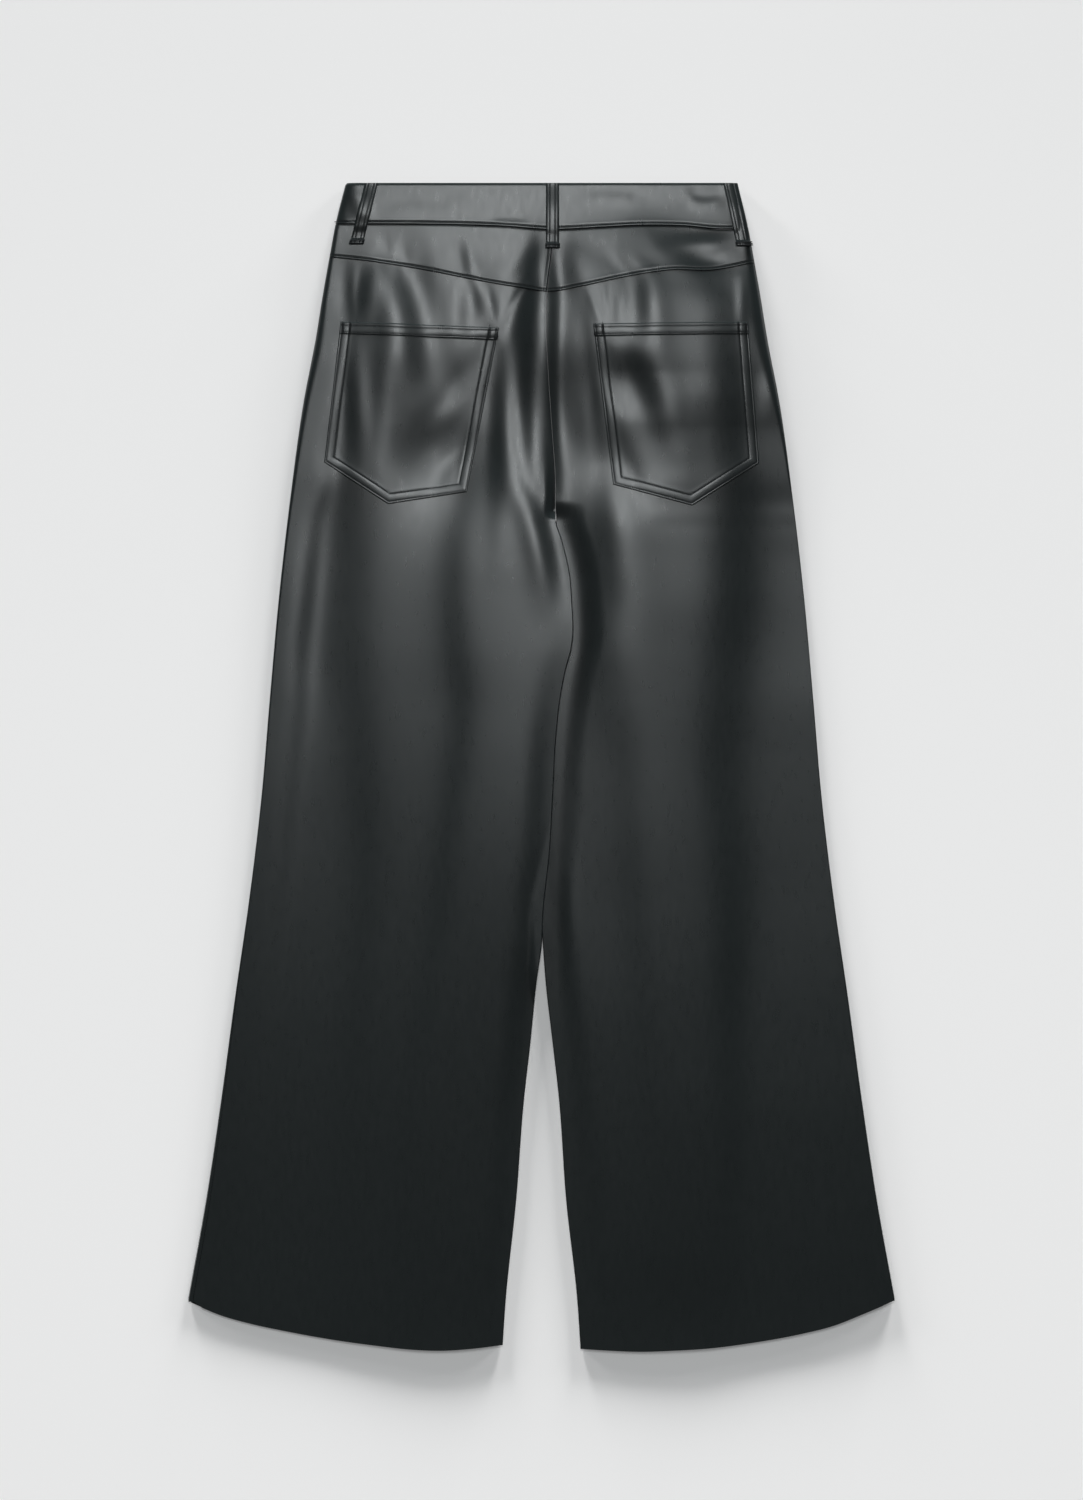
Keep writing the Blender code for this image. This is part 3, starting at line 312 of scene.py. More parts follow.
# Short creases, each along a line of places on the cloth, on one side or on both (0). A
# ridge has a crest; a fall drops from one side of its line to the other and comes back
# gently.
Crease = namedtuple("Crease", "name side kind width height line")
CREASES = [Crease(*row) for row in (
    ("left yoke dent", -1, "fall", 6, 0.4, ((-138, 40), (-135, 66), (-136, 92))),
    ("left yoke second dent", -1, "fall", 6, 0.25, ((-123, 48), (-121, 89))),
    ("left yoke dark", -1, "fall", 6, 0.26, ((-72, 48), (-69, 71), (-68, 96))),
    ("left yoke slant", -1, "fall", 10, 0.55, ((1, 46), (-12, 68), (-27, 96))),
    ("left hip dark", -1, "fall", 5, 0.25, ((-173, 60), (-174, 87), (-175, 132))),
    ("left hip bright", -1, "ridge", 3.5, 0.2, ((-167, 65), (-169, 96), (-169, 137))),
    ("left fan dark one", -1, "fall", 8, 0.45, ((-147, 60), (-158, 89), (-167, 137))),
    ("left fan dark two", -1, "fall", 17, -2.9,
     ((-147, 39), (-135, 71), (-126, 96), (-119, 128), (-117, 164), (-115, 213))),
    ("left fan dark three", -1, "fall", 8, 0.8,
     ((-61, 84), (-58, 109), (-59, 128), (-56, 152))),
    ("left corner ridge", -1, "ridge", 3.4, 0.3,
     ((-3, 75), (-18, 96), (-30, 116), (-39, 137))),
    ("left corner second", -1, "ridge", 3.4, 0.22, ((-50, 84), (-45, 110), (-39, 140))),
    ("left corner third", -1, "fall", 7, 0.4, ((-9, 94), (-16, 116), (-25, 141), (-30, 161))),
    ("left of the centre", -1, "fall", 9, 0.9,
     ((-38, 123), (-39, 195), (-38, 258), (-37, 312))),
    ("left pocket edge dark", -1, "fall", 7, 0.36, ((-172, 128), (-171, 195), (-170, 267))),
    ("left pocket soft dark", -1, "fall", 8, 0.4, ((-148, 132), (-146, 195), (-144, 258))),
    ("left pocket ramp", -1, "fall", 36, -0.9, ((-86, 78), (-84, 168), (-81, 258))),
    ("left pocket slant", -1, "fall", 9, 0.5, ((-59, 156), (-77, 192), (-97, 226))),
    ("left pocket slant end", -1, "fall", 8, 0.4, ((-64, 231), (-82, 256), (-91, 285))),
    ("right yoke dark", 1, "fall", 12, 0.6, ((17, 48), (22, 71), (27, 109))),
    ("right fan dark", 1, "fall", 10, 1,
     ((60, 44), (72, 66), (86, 83), (91, 105), (95, 137), (98, 170))),
    ("right yoke diagonal", 1, "fall", 9, 0.6, ((89, 39), (105, 56), (128, 66), (168, 75))),
    ("right yoke band", 1, "fall", 8, 1.2, ((99, 50), (138, 50), (189, 49))),
    ("right yoke end", 1, "fall", 5, 0.3, ((153, 64), (170, 63), (189, 62))),
    ("right diagonal", 1, "ridge", 3.6, 0.22, ((37, 84), (45, 105), (54, 130), (59, 150))),
    ("right second diagonal", 1, "ridge", 3.6, 0.22, ((54, 80), (57, 105), (61, 137))),
    ("right third streak", 1, "fall", 7, 0.5, ((68, 80), (67, 105), (66, 146))),
    ("right hip wedge", 1, "ridge", 5, 0.45, ((180, 65), (180, 101), (180, 146))),
    ("right of the centre", 1, "fall", 8, 0.5, ((17, 87), (18, 132), (18, 195), (19, 267))),
    ("right of the seat", 1, "fall", 6, 0.4,
     ((37, 87), (42, 123), (48, 177), (53, 231), (58, 285))),
    ("right pocket corner", 1, "fall", 7, 0.5, ((56, 122), (59, 146), (63, 186))),
    ("right pocket slant", 1, "fall", 15, 1.3,
     ((78, 119), (89, 159), (96, 186), (103, 213), (114, 258))),
    ("right pocket soft dark", 1, "fall", 28, -1.3, ((134, 168), (132, 222), (130, 294))),
    ("right pocket dark", 1, "fall", 14, -0.6, ((164, 128), (167, 195), (167, 285))),
    ("right pocket outside", 1, "fall", 8, 0.5, ((198, 159), (200, 182), (202, 218))),
    ("left seat slope", -1, "fall", 54, -6.2, ((-150, 172), (-91, 171), (-24, 168))),
    ("beside the left leg", 1, "fall", 9, 1,
     ((26, 375), (22, 465), (18, 519), (13, 582), (15, 627), (22, 690), (36, 807))),
    ("left thigh side", -1, "fall", 13, -0.6,
     ((-198, 267), (-207, 339), (-212, 411), (-217, 519))),
    ("hollow beside the left inner edge", -1, "fall", 10, -1.8,
     ((-13, 228), (-13, 267), (-1, 303), (7, 339), (13, 402))),
    ("left pocket slope end", -1, "fall", 26, -2.1, ((-149, 226), (-91, 228), (-19, 231))),
    ("seat slope across the centre", 0, "fall", 46, -4.8, ((-55, 172), (44, 170), (143, 168))),
    ("right seat slope end", 1, "fall", 26, -2.8, ((13, 237), (71, 233), (134, 228))),
    ("crotch wrinkle", -1, "ridge", 2.2, 0.3, ((3, 267), (8, 286), (13, 296), (18, 313))),
)]

# The left leg climbs onto the right one about x and comes down again to its inner edge
ClimbRow = namedtuple("ClimbRow", "drop x height edge_height")
CLIMB = [ClimbRow(*row) for row in (
    (191, -64, 0, 0), (231, -63, 1.2, 0), (258, -66, 3, 0.6), (276, -69, 4.4, 2.2),
    (296, -73, 5.8, 4.8), (317, -77, 6.8, 6.3), (339, -79, 7.4, 6.9), (375, -80, 7.7, 7.2),
    (420, -77, 8, 7.4), (465, -72, 8.3, 6.6), (519, -76, 8.5, 5.4), (600, -86, 8.3, 4.6),
    (681, -95, 7.3, 2.6), (735, -105, 6.2, 1.2), (789, -113, 5.2, 0.6), (843, -121, 4.3, 0.4),
    (951, -127, 3, 0.2), (1046, -132, 1.8, 0))]
CLIMB_WIDTHS = (36.0, 120.0)   # a narrow flank within a wide one
NARROW_SHARE = 0.25
CLIMB_END = 15.0               # how far inside the edge the left leg comes down again
CLIMB_END_WIDTH = 30.0


def smooth(x, y, at, level_ends=False):
    """Smooth line through places y over x, read at other places."""
    slope = np.gradient(y, x)
    if level_ends:
        slope[0] = slope[-1] = 0.0
    at = np.clip(at, x[0], x[-1])
    i = np.clip(np.searchsorted(x, at) - 1, 0, len(x) - 2)
    step = x[i + 1] - x[i]
    t = (at - x[i]) / step
    start = (1 + 2 * t) * (1 - t) ** 2 * y[i] + t * (1 - t) ** 2 * step * slope[i]
    end = t * t * (3 - 2 * t) * y[i + 1] - t * t * (1 - t) * step * slope[i + 1]
    return start + end


def curve(rows, column, at, level_ends=False):
    """Smooth line through one column of a table, read along the table's first column."""
    x = np.array([row[0] for row in rows], float)
    y = np.array([getattr(row, column) for row in rows], float)
    return smooth(x, y, at, level_ends)


def ease(t):
    """Smooth step from 0 to 1."""
    t = np.clip(t, 0.0, 1.0)
    return t * t * (3.0 - 2.0 * t)


def swell(t):
    """Rounder step from 0 to 1 with long ends and its middle at 0."""
    return 0.5 + 0.5 * np.tanh(2.5 * t)


def column_of(side):
    return "left" if side < 0 else "right"


def side_edge(side, drop):
    return side * curve(SIDE_EDGE, "half_width", drop)


def inner_edge(side, drop):
    return curve(INNER_EDGE, column_of(side), drop)


def hem_line(side, x):
    return curve(HEM, column_of(side), np.abs(x))


def waist_seam(x):
    return curve(WAIST_SEAM, "drop", x)


def front_waist_seam(x):
    """The front's waist seam, straight between the ends of the back's."""
    first, last = WAIST_SEAM[0], WAIST_SEAM[-1]
    return np.interp(x, (first.x, last.x), (first.drop, last.drop))


def yoke_seam(x):
    return curve(YOKE_SEAM, "drop", x)


def fold_height(side, x, drop):
    """Sum of one side's long folds at a place on the back."""
    total = np.zeros_like(x)
    for fold in FOLDS:
        if fold.side == side:
            middle, width, rise = (curve(fold.rows, column, drop, level_ends=True)
                                   for column in ("x", "width", "rise"))
            total = total + rise * swell(side * (x - middle) / width)
    left, right, height = (curve(SEAM_RIDGE, column, drop, level_ends=True)
                           for column in ("left", "right", "height"))
    ridge = (swell((x - left) / RIDGE_FLANKS[0])
             * swell((right - x) / RIDGE_FLANKS[1]))
    return total + height * ridge


def along_line(line, x, drop):
    """Distance across a smooth line of places and the share of its length."""
    points = np.array(line, float)
    end_to_end = np.abs(points[-1] - points[0])
    if end_to_end[1] > end_to_end[0]:
        along, across, places, offsets = drop, x, points[:, 1], points[:, 0]
    else:
        along, across, places, offsets = x, drop, points[:, 0], points[:, 1]
    if places[0] > places[-1]:
        places, offsets = places[::-1], offsets[::-1]
    tilt = (offsets[-1] - offsets[0]) / (places[-1] - places[0])
    distance = (across - smooth(places, offsets, along)) / np.hypot(1.0, tilt)
    share = np.clip((along - places[0]) / (places[-1] - places[0]), 0.0, 1.0)
    return distance, share


def crease_rise(crease, x, drop, fade):
    """Height of one crease, which fades out over a share of its length at either end."""
    across, share = along_line(crease.line, x, drop)
    across = across / crease.width
    if crease.kind == "ridge":
        profile = np.exp(-across ** 2)
    else:
        profile = across * np.exp(-0.5 * across ** 2)
    return crease.height * profile * ease(share / fade) * ease((1 - share) / fade)


def crease_height(side, x, drop):
    """Sum of one side's short creases at a place on the back."""
    return sum(crease_rise(crease, x, drop, CREASE_FADE)
               for crease in CREASES if crease.side in (0, side))


def overlap_share(overlap, drop, inside):
    """1 where the left leg lies on the right one, eased to 0 above, below and outside."""
    return (ease((drop - overlap.starts) / overlap.opens)
            * (1 - ease((drop - overlap.ends) / overlap.closes))
            * ease((inside + overlap.reach) / overlap.fade))


def underside(side, x, drop):
    """What a leg lies on: the table, or for the left leg's inner part the right leg."""
    if side > 0:
        return np.zeros_like(x)
    return LIFT * overlap_share(LIFTED, drop, x - inner_edge(1, drop))


def back_lift(side, x, drop):
    """How far the right leg under it raises the left leg's back panel."""
    if side > 0:
        return np.zeros_like(x)
    middle, height, edge_height = (curve(CLIMB, column, drop, level_ends=True)
                                   for column in ("x", "height", "edge_height"))
    narrow, wide = (swell((x - middle) / width) for width in CLIMB_WIDTHS)
    up = height * (NARROW_SHARE * narrow + (1 - NARROW_SHARE) * wide)
    from_edge = inner_edge(-1, drop) - x
    down = (height - edge_height) * swell((CLIMB_END - from_edge) / CLIMB_END_WIDTH)
    at_seam = ease((BUTT_REACH - from_edge) / BUTT_FADE)
    opened = ease((drop - LIFTED.starts) / LIFTED.opens)
    climbed = (up - down) * (1 - at_seam * (1 - opened))
    return np.maximum(climbed, underside(side, x, drop))


def crown(distance, height, roll=ROLL, radius=TURN_RADIUS):
    """Height of the upper surface at a distance in from a rolled edge."""
    rise = height - roll
    inside = np.clip(distance / (rise ** 2 / radius), 0.0, 1.0)
    return roll + rise * (1.0 - (1.0 - inside) ** 3) ** (1 / 3)


def back_height(side, x, drop, proud=0.0):
    """Height of the outer surface of the back, yokes and legs alike."""
    height = curve(LAY, "height", drop) + proud
    height = height + fold_height(side, x, drop) + crease_height(side, x, drop)
    if side > 0:
        covered = overlap_share(COVERED, drop, inner_edge(-1, drop) - x)
        height = height + (np.minimum(height, PRESSED) - height) * covered
    opened = ease((drop - CROTCH_DROP) / CROTCH_OPENS)
    at_inner = crown((x - inner_edge(side, drop)) * side, height)
    at_inner = height + (at_inner - height) * opened
    at_side = crown((side_edge(side, drop) - x) * side, height)
    return np.minimum(at_inner, at_side) + back_lift(side, x, drop)


def row_drops(nominal, x, top_line, bottom_line):
    """Drops of the rows, bent to the top line and to the bottom line near them."""
    first, last = nominal[0], nominal[-1]
    near_top = np.clip(1 - (nominal - first) / ROW_FADE, 0.0, 1.0)
    near_bottom = np.clip(1 - (last - nominal) / ROW_FADE, 0.0, 1.0)
    return (nominal + near_top * (top_line(x) - first)
            + near_bottom * (bottom_line(x) - last))


def spread(side, drop, plan):
    """x of every grid point: each column's plan is (share, from inner, from side)."""
    share, from_inner, from_side = (np.array(values) for values in zip(*plan))
    inner = inner_edge(side, drop) + side * from_inner
    outer = side_edge(side, drop) - side * from_side
    return inner + (outer - inner) * share


def column_plan(inner_steps, middle, side_steps):
    plan = [(0.0, step, side_steps[-1]) for step in inner_steps]
    plan += [(i / middle, inner_steps[-1], side_steps[-1]) for i in range(1, middle)]
    return plan + [(1.0, inner_steps[-1], step) for step in reversed(side_steps)]


def place_grid(side, plan, rows, top_line, bottom_line):
    """x and drop of every point of a panel's grid."""
    nominal = np.repeat(np.array(rows, float)[:, None], len(plan), axis=1)
    drop = nominal
    for _ in range(4):
        x = spread(side, drop, plan)
        drop = row_drops(nominal, x, top_line, bottom_line)
    return spread(side, drop, plan), drop


def stack(x, drop, z):
    """Grid points of the row frame, still in millimetres."""
    return np.stack((x, LENGTH / 2 - drop, z), axis=-1)


def slope_of(points, axis):
    """Direction of a grid of points along one of its axes, true also where steps differ."""
    steps = np.linalg.norm(np.diff(points, axis=axis), axis=-1).mean(axis=1 - axis)
    return np.gradient(points, np.concatenate(([0.0], np.cumsum(steps))), axis=axis)


def outward(points, up):
    """Unit normals of a grid of points, up for a back and down for a front."""
    normal = np.cross(slope_of(points, 1), slope_of(points, 0))
    normal /= np.linalg.norm(normal, axis=-1, keepdims=True)
    if (normal[..., 2].mean() > 0) != up:
        normal = -normal
    return normal


def square_rows(normal):
    """Turn the end rows' normals upright along the garment, so that ends face squarely."""
    normal[0, :, 1] = 0.0
    normal[-1, :, 1] = 0.0
    return normal / np.linalg.norm(normal, axis=-1, keepdims=True)


def square_center_seam(normal, drop, column):
    """Turn the normals upright across the centre seam, where two panels butt."""
    opened = ease((drop[:, column] - CROTCH_DROP) / CROTCH_OPENS)
    normal[:, column, 0] *= opened
    return normal / np.linalg.norm(normal, axis=-1, keepdims=True)


def sew_wall(name, outer, inner, finish):
    """One closed piece of cloth between two grids of points, in the finish's material."""
    rows, columns = outer.shape[:2]
    points = np.concatenate((outer.reshape(-1, 3), inner.reshape(-1, 3))) * MM
    index = np.arange(rows * columns).reshape(rows, columns)
    low = index + rows * columns
    top_faces = np.stack((index[:-1, :-1], index[:-1, 1:], index[1:, 1:], index[1:, :-1]), -1)
    low_faces = np.stack((low[:-1, :-1], low[1:, :-1], low[1:, 1:], low[:-1, 1:]), -1)
    faces = [top_faces.reshape(-1, 4), low_faces.reshape(-1, 4)]
    for j in (0, columns - 1):
        faces.append(np.stack((index[:-1, j], index[1:, j], low[1:, j], low[:-1, j]), -1))
    for i in (0, rows - 1):
        faces.append(np.stack((index[i, :-1], low[i, :-1], low[i, 1:], index[i, 1:]), -1))
    mesh = bpy.data.meshes.new(name)
    mesh.from_pydata(points.tolist(), [], np.concatenate(faces).tolist())
    skin = bmesh.new()
    skin.from_mesh(mesh)
    bmesh.ops.recalc_face_normals(skin, faces=skin.faces)
    skin.to_mesh(mesh)
    skin.free()
    mesh.shade_smooth()
    mesh.set_sharp_from_angle(angle=0.9)
    mesh.materials.append(finish)
    piece = add_object(name, mesh)
    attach(piece, "root")
    return piece


GRAIN_SIZE, MOTTLE_SIZE = 2.2, 4.0
GRAIN_STRETCH = (1.0, 0.3, 1.0)          # the grain runs mostly along the garment
GRAIN_DEPTH = 0.01
LEATHER_DARK, LEATHER_LIGHT = (0.0076, 0.0103, 0.0106), (0.0096, 0.0124, 0.0128)
LEATHER_ROUGHNESS = (0.272, 0.302)


def number_inputs(tree, rows):
    """Number inputs of a node group, each with its usual value."""
    for label, value in rows:
        socket = tree.interface.new_socket(label, in_out="INPUT",
                                           socket_type="NodeSocketFloat")
        socket.default_value = value


def leather_grain():
    """Node group: fine pressed grain, mostly along the garment, and a slow mottle."""
    tree = bpy.data.node_groups.new("faux leather grain", "ShaderNodeTree")
    number_inputs(tree, (("Grain Size", GRAIN_SIZE), ("Mottle Size", MOTTLE_SIZE)))
    for label in ("Height", "Mottle"):
        tree.interface.new_socket(label, in_out="OUTPUT", socket_type="NodeSocketFloat")
    nodes, links = tree.nodes, tree.links
    entry = nodes.new("NodeGroupInput")
    result = nodes.new("NodeGroupOutput")
    place = nodes.new("ShaderNodeTexCoord")
    along = nodes.new("ShaderNodeMapping")
    along.inputs["Scale"].default_value = GRAIN_STRETCH
    wire(links, (place, "Object", along, "Vector"))
    scales = []
    for label in ("Grain Size", "Mottle Size"):
        scale = nodes.new("ShaderNodeMath")
        scale.operation = "DIVIDE"
        scale.inputs[0].default_value = 1000.0
        wire(links, (entry, label, scale, 1))
        scales.append(scale)
    pebbles = nodes.new("ShaderNodeTexVoronoi")
    pebbles.feature = "SMOOTH_F1"
    pebbles.inputs["Smoothness"].default_value = 0.6
    wrinkles = nodes.new("ShaderNodeTexNoise")
    wrinkles.inputs["Detail"].default_value = 3.0
    mottle = nodes.new("ShaderNodeTexNoise")
    mottle.inputs["Detail"].default_value = 2.0
    mottle.inputs["Roughness"].default_value = 0.5
    wire(links, (along, "Vector", pebbles, "Vector"),
         (along, "Vector", wrinkles, "Vector"),
         (along, "Vector", mottle, "Vector"),
         (scales[0], "Value", pebbles, "Scale"),
         (scales[0], "Value", wrinkles, "Scale"),
         (scales[1], "Value", mottle, "Scale"))
    both = nodes.new("ShaderNodeMath")
    both.operation = "ADD"
    wire(links, (pebbles, "Distance", both, 0),
         (wrinkles, "Fac", both, 1),
         (both, "Value", result, "Height"),
         (mottle, "Fac", result, "Mottle"))
    return tree


GRAIN = leather_grain()


def leather_finish(name, tone=1.0):
    """Satin near-black faux leather: grain in its height, mottle in tone and gloss; a tone
    under 1 paints the same cloth darker, as painted shade.
    """
    finish = bpy.data.materials.new(name)
    finish.use_nodes = True
    nodes, links = finish.node_tree.nodes, finish.node_tree.links
    shader = nodes["Principled BSDF"]
    grain = nodes.new("ShaderNodeGroup")
    grain.node_tree = GRAIN
    grain.inputs["Grain Size"].default_value = GRAIN_SIZE
    grain.inputs["Mottle Size"].default_value = MOTTLE_SIZE
    color = nodes.new("ShaderNodeMix")
    color.data_type = "RGBA"
    for socket, shade in (("A", LEATHER_DARK), ("B", LEATHER_LIGHT)):
        color.inputs[socket].default_value = (*(tone * part for part in shade), 1.0)
    gloss = nodes.new("ShaderNodeMapRange")
    gloss.inputs["From Min"].default_value = 0.3
    gloss.inputs["From Max"].default_value = 0.7
    gloss.inputs["To Min"].default_value, gloss.inputs["To Max"].default_value = (
        LEATHER_ROUGHNESS)
    bump = nodes.new("ShaderNodeBump")
    bump.inputs["Strength"].default_value = 0.35
    bump.inputs["Distance"].default_value = GRAIN_DEPTH * MM
    wire(links, (grain, "Mottle", color, "Factor"),
         (grain, "Mottle", gloss, "Value"),
         (grain, "Height", bump, "Height"),
         (color, "Result", shader, "Base Color"),
         (gloss, "Result", shader, "Roughness"),
         (bump, "Normal", shader, "Normal"))
    shader.inputs["Metallic"].default_value = 0.0
    shader.inputs["IOR"].default_value = 1.5
    return finish


LEG_ROWS = np.concatenate((
    np.arange(100.0, 270.0, 3.4), np.arange(270.0, 318.0, 1.8), np.arange(318.0, 520.0, 3.2),
    np.arange(520.0, 1040.0, 3.6), (1040.0, 1043.0, 1045.5, 1047.5, 1049.0, 1050.0)))
SEAM_ROWS = (0.0, 0.5, 1.0, 1.6, 2.3, 3.2, 4.4, 6.0, 8.0, 10.5, 13.5, 16.5, 20.0, 24.0, 28.5)
WAIST_SEAM_DROP, YOKE_SEAM_DROP = 38.0, 67.0   # about where the seams meet the side
BACK_ROWS = tuple(YOKE_SEAM_DROP + row for row in SEAM_ROWS) + tuple(LEG_ROWS)
FRONT_ROWS = tuple(WAIST_SEAM_DROP + row for row in SEAM_ROWS) + BACK_ROWS[1:]
BACK_INNER_STEPS = (0.9, 1.5, 2.3, 3.3, 4.6, 6.2, 8.2, 10.6)
BACK_SIDE_STEPS = (0.4, 0.9, 1.5, 2.2, 3.1, 4.2, 5.6, 7.4, 9.6)
BACK_MIDDLE = 92
FRONT_MIDDLE = 46
FRONT_INNER_STEPS = {-1: (0.5, 4.0, 7.0, 10.0, 14.0, 18.0, 22.0, 27.0, 31.0, 36.0, 40.0,
                          45.0, 50.0, 55.0, 60.0, 66.0),
                     1: (0.5, 3.0, 6.0)}
FRONT_SIDE_STEPS = (0.5, 3.0, 6.0)
WRAP_FADE = 16.0


def edge_turn(side, drop, edge, wrap, inwards):
    """Columns of a front panel round a rolled edge, from past its seam to the table."""
    columns = []
    for reach in (wrap + 0.4, wrap, wrap * 0.8, wrap * 0.6, wrap * 0.4, wrap * 0.2):
        x = edge + inwards * reach
        columns.append((x, back_height(side, x, drop)))
    for angle in np.radians((90.0, 72.0, 54.0, 36.0, 18.0, 0.0)):
        x = edge + inwards * ROLL * (1 - np.sin(angle))
        columns.append((x, underside(side, x, drop) + ROLL * (1 - np.cos(angle))))
    return columns


def front_leg(side):
    """Front leg panel: it lies on the table and comes up round the edges."""
    steps = FRONT_INNER_STEPS[side]
    plan = column_plan(steps, FRONT_MIDDLE, FRONT_SIDE_STEPS)
    x, drop = place_grid(side, plan, FRONT_ROWS,
                         lambda at: front_waist_seam(at) + SEAM_GAP / 2,
                         lambda at: hem_line(side, at))
    first, last = drop[:, 0], drop[:, -1]
    x, drop = x[:, 1:-1], drop[:, 1:-1]
    wrap = curve(WRAP, column_of(side), last)
    at_side = edge_turn(side, last, side_edge(side, last), wrap, -side)
    at_inner = edge_turn(side, first, inner_edge(side, first), np.full_like(first, 0.5), side)
    opened = ease((first - CROTCH_DROP) / CROTCH_OPENS)
    flat = (-0.25, SEAM_GAP / 2, 0.35, 0.6, 0.8, 1.0, 1.2, 1.5, 1.8, 2.1, 2.4, 2.7)
    butted = []
    for (edge_x, edge_z), reach in zip(at_inner, flat):
        flat_x = inner_edge(side, first) + side * reach
        flat_z = underside(side, flat_x, first)
        butted.append((flat_x + (edge_x - flat_x) * opened,
                       flat_z + (edge_z - flat_z) * opened))
    z = underside(side, x, drop)
    all_x = np.column_stack([c[0] for c in butted] + [x] + [c[0] for c in reversed(at_side)])
    all_z = np.column_stack([c[1] for c in butted] + [z] + [c[1] for c in reversed(at_side)])
    turns = len(at_side)
    all_drop = np.column_stack([first] * turns + [drop] + [last] * turns)
    outer = stack(all_x, all_drop, all_z)
    normal = square_rows(square_center_seam(outward(outer, False), all_drop, 1))
    inner = outer - WALL * normal
    name = "front_leg_" + column_of(side)
    piece = sew_wall(name + "_cloth", outer[:, 1:-1], inner[:, 1:-1], leg_finish)
    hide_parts(name)
    return piece


leg_finish = leather_finish("faux leather of the legs")
for leg_side in (-1, 1):
    panel = front_leg(leg_side)


# ---------------------------------------------------------------------------------------
# Back legs. Two panels of the same cloth, yoke seam to hem, that show all the folds. The
# left leg's inner part lies over the right leg below the crotch.
# ---------------------------------------------------------------------------------------
def back_leg(side):
    """Back leg panel: yoke seam to hem, centre seam or inseam to side seam."""
    wrap = curve(WRAP, column_of(side), np.array(BACK_ROWS, float))[:, None]
    inner_steps = (BACK_INNER_STEPS[0] - 0.25,) + BACK_INNER_STEPS
    side_steps = (BACK_SIDE_STEPS[0] - 0.25,) + BACK_SIDE_STEPS
    plan = column_plan(inner_steps, BACK_MIDDLE, side_steps)
    x, drop = place_grid(side, plan, BACK_ROWS, lambda at: yoke_seam(at) + SEAM_GAP / 2,
                         lambda at: hem_line(side, at))
    count = len(side_steps)
    fading = np.minimum(1.0, 1.03 - np.array(side_steps[::-1]) / WRAP_FADE)
    x[:, -count:] -= side * wrap * fading
    butted = 1 - ease((drop[:, :2] - CROTCH_DROP) / CROTCH_OPENS)
    x[:, :2] -= side * (BACK_INNER_STEPS[0] - SEAM_GAP / 2) * butted
    outer = stack(x, drop, back_height(side, x, drop))
    normal = square_rows(square_center_seam(outward(outer, True), drop, 1))
    inner = outer - WALL * normal
    name = "back_leg_" + column_of(side)
    piece = sew_wall(name + "_cloth", outer[:, 1:-1], inner[:, 1:-1], leg_finish)
    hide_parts(name)
    return piece


for leg_side in (-1, 1):
    panel = back_leg(leg_side)
    "front_leg_" + column_of(leg_side) + "_cloth"


# ---------------------------------------------------------------------------------------
# Back yokes. Two strips of the same cloth between the waistband and the back legs, joined
# at centre back. Their lower edge is turned under, lapped over the legs and topstitched.
# ---------------------------------------------------------------------------------------
YOKE_PROUD = 0.6
STITCH_IN = 2.8             # a topstitched row lies this far in from a turned edge
TOP_STEPS = (0.0, 0.5, 1.1, 1.8, 2.8, 4.2, 6.0)
LOW_STEPS = (0.0, 0.35, 0.8, 1.3, 1.8, 2.3, 2.8, 3.3, 3.9, 4.8, 6.0, 7.6)
YOKE_MIDDLE = 15


def rounded(distance, depth, reach):
    """Relief of cloth that rounds off by a depth within its reach of an edge."""
    return -depth * np.clip(1 - distance / reach, 0.0, 1.0) ** 2


def raised(distance, place, height, width):
    """Relief of a soft line at a place in from an edge: a groove if it isn't high."""
    return height * np.exp(-((distance - place) / width) ** 2)


def turned_edge(distance, spacing=1.0):
    """Relief of a turned edge: rounded off, a lip, and the groove that the stitches pull."""
    distance = distance / spacing
    return (rounded(distance, 0.8, 0.8) + raised(distance, 1.4, 0.10, 0.8)
            + raised(distance, STITCH_IN, -0.26, 0.5) + raised(distance, 4.6, 0.05, 1.3))


def place_strip(side, plan, top_line, low_line, top_steps, middle, low_steps):
    """x and drop of a strip's grid, with fixed steps along its top and its low edge."""
    count = len(top_steps) + middle - 1 + len(low_steps)
    drop = np.full((count, len(plan)), 60.0)
    for _ in range(4):
        x = spread(side, drop, plan)
        top, low = top_line(x), low_line(x)
        rows = [top[i] + step for i, step in enumerate(top_steps)]
        for k in range(1, middle):
            i = len(top_steps) - 1 + k
            start, end = top[i] + top_steps[-1], low[i] - low_steps[-1]
            rows.append(start + (end - start) * k / middle)
        for k, step in enumerate(reversed(low_steps)):
            rows.append(low[len(rows)] - step)
        drop = np.array(rows)
    return spread(side, drop, plan), drop


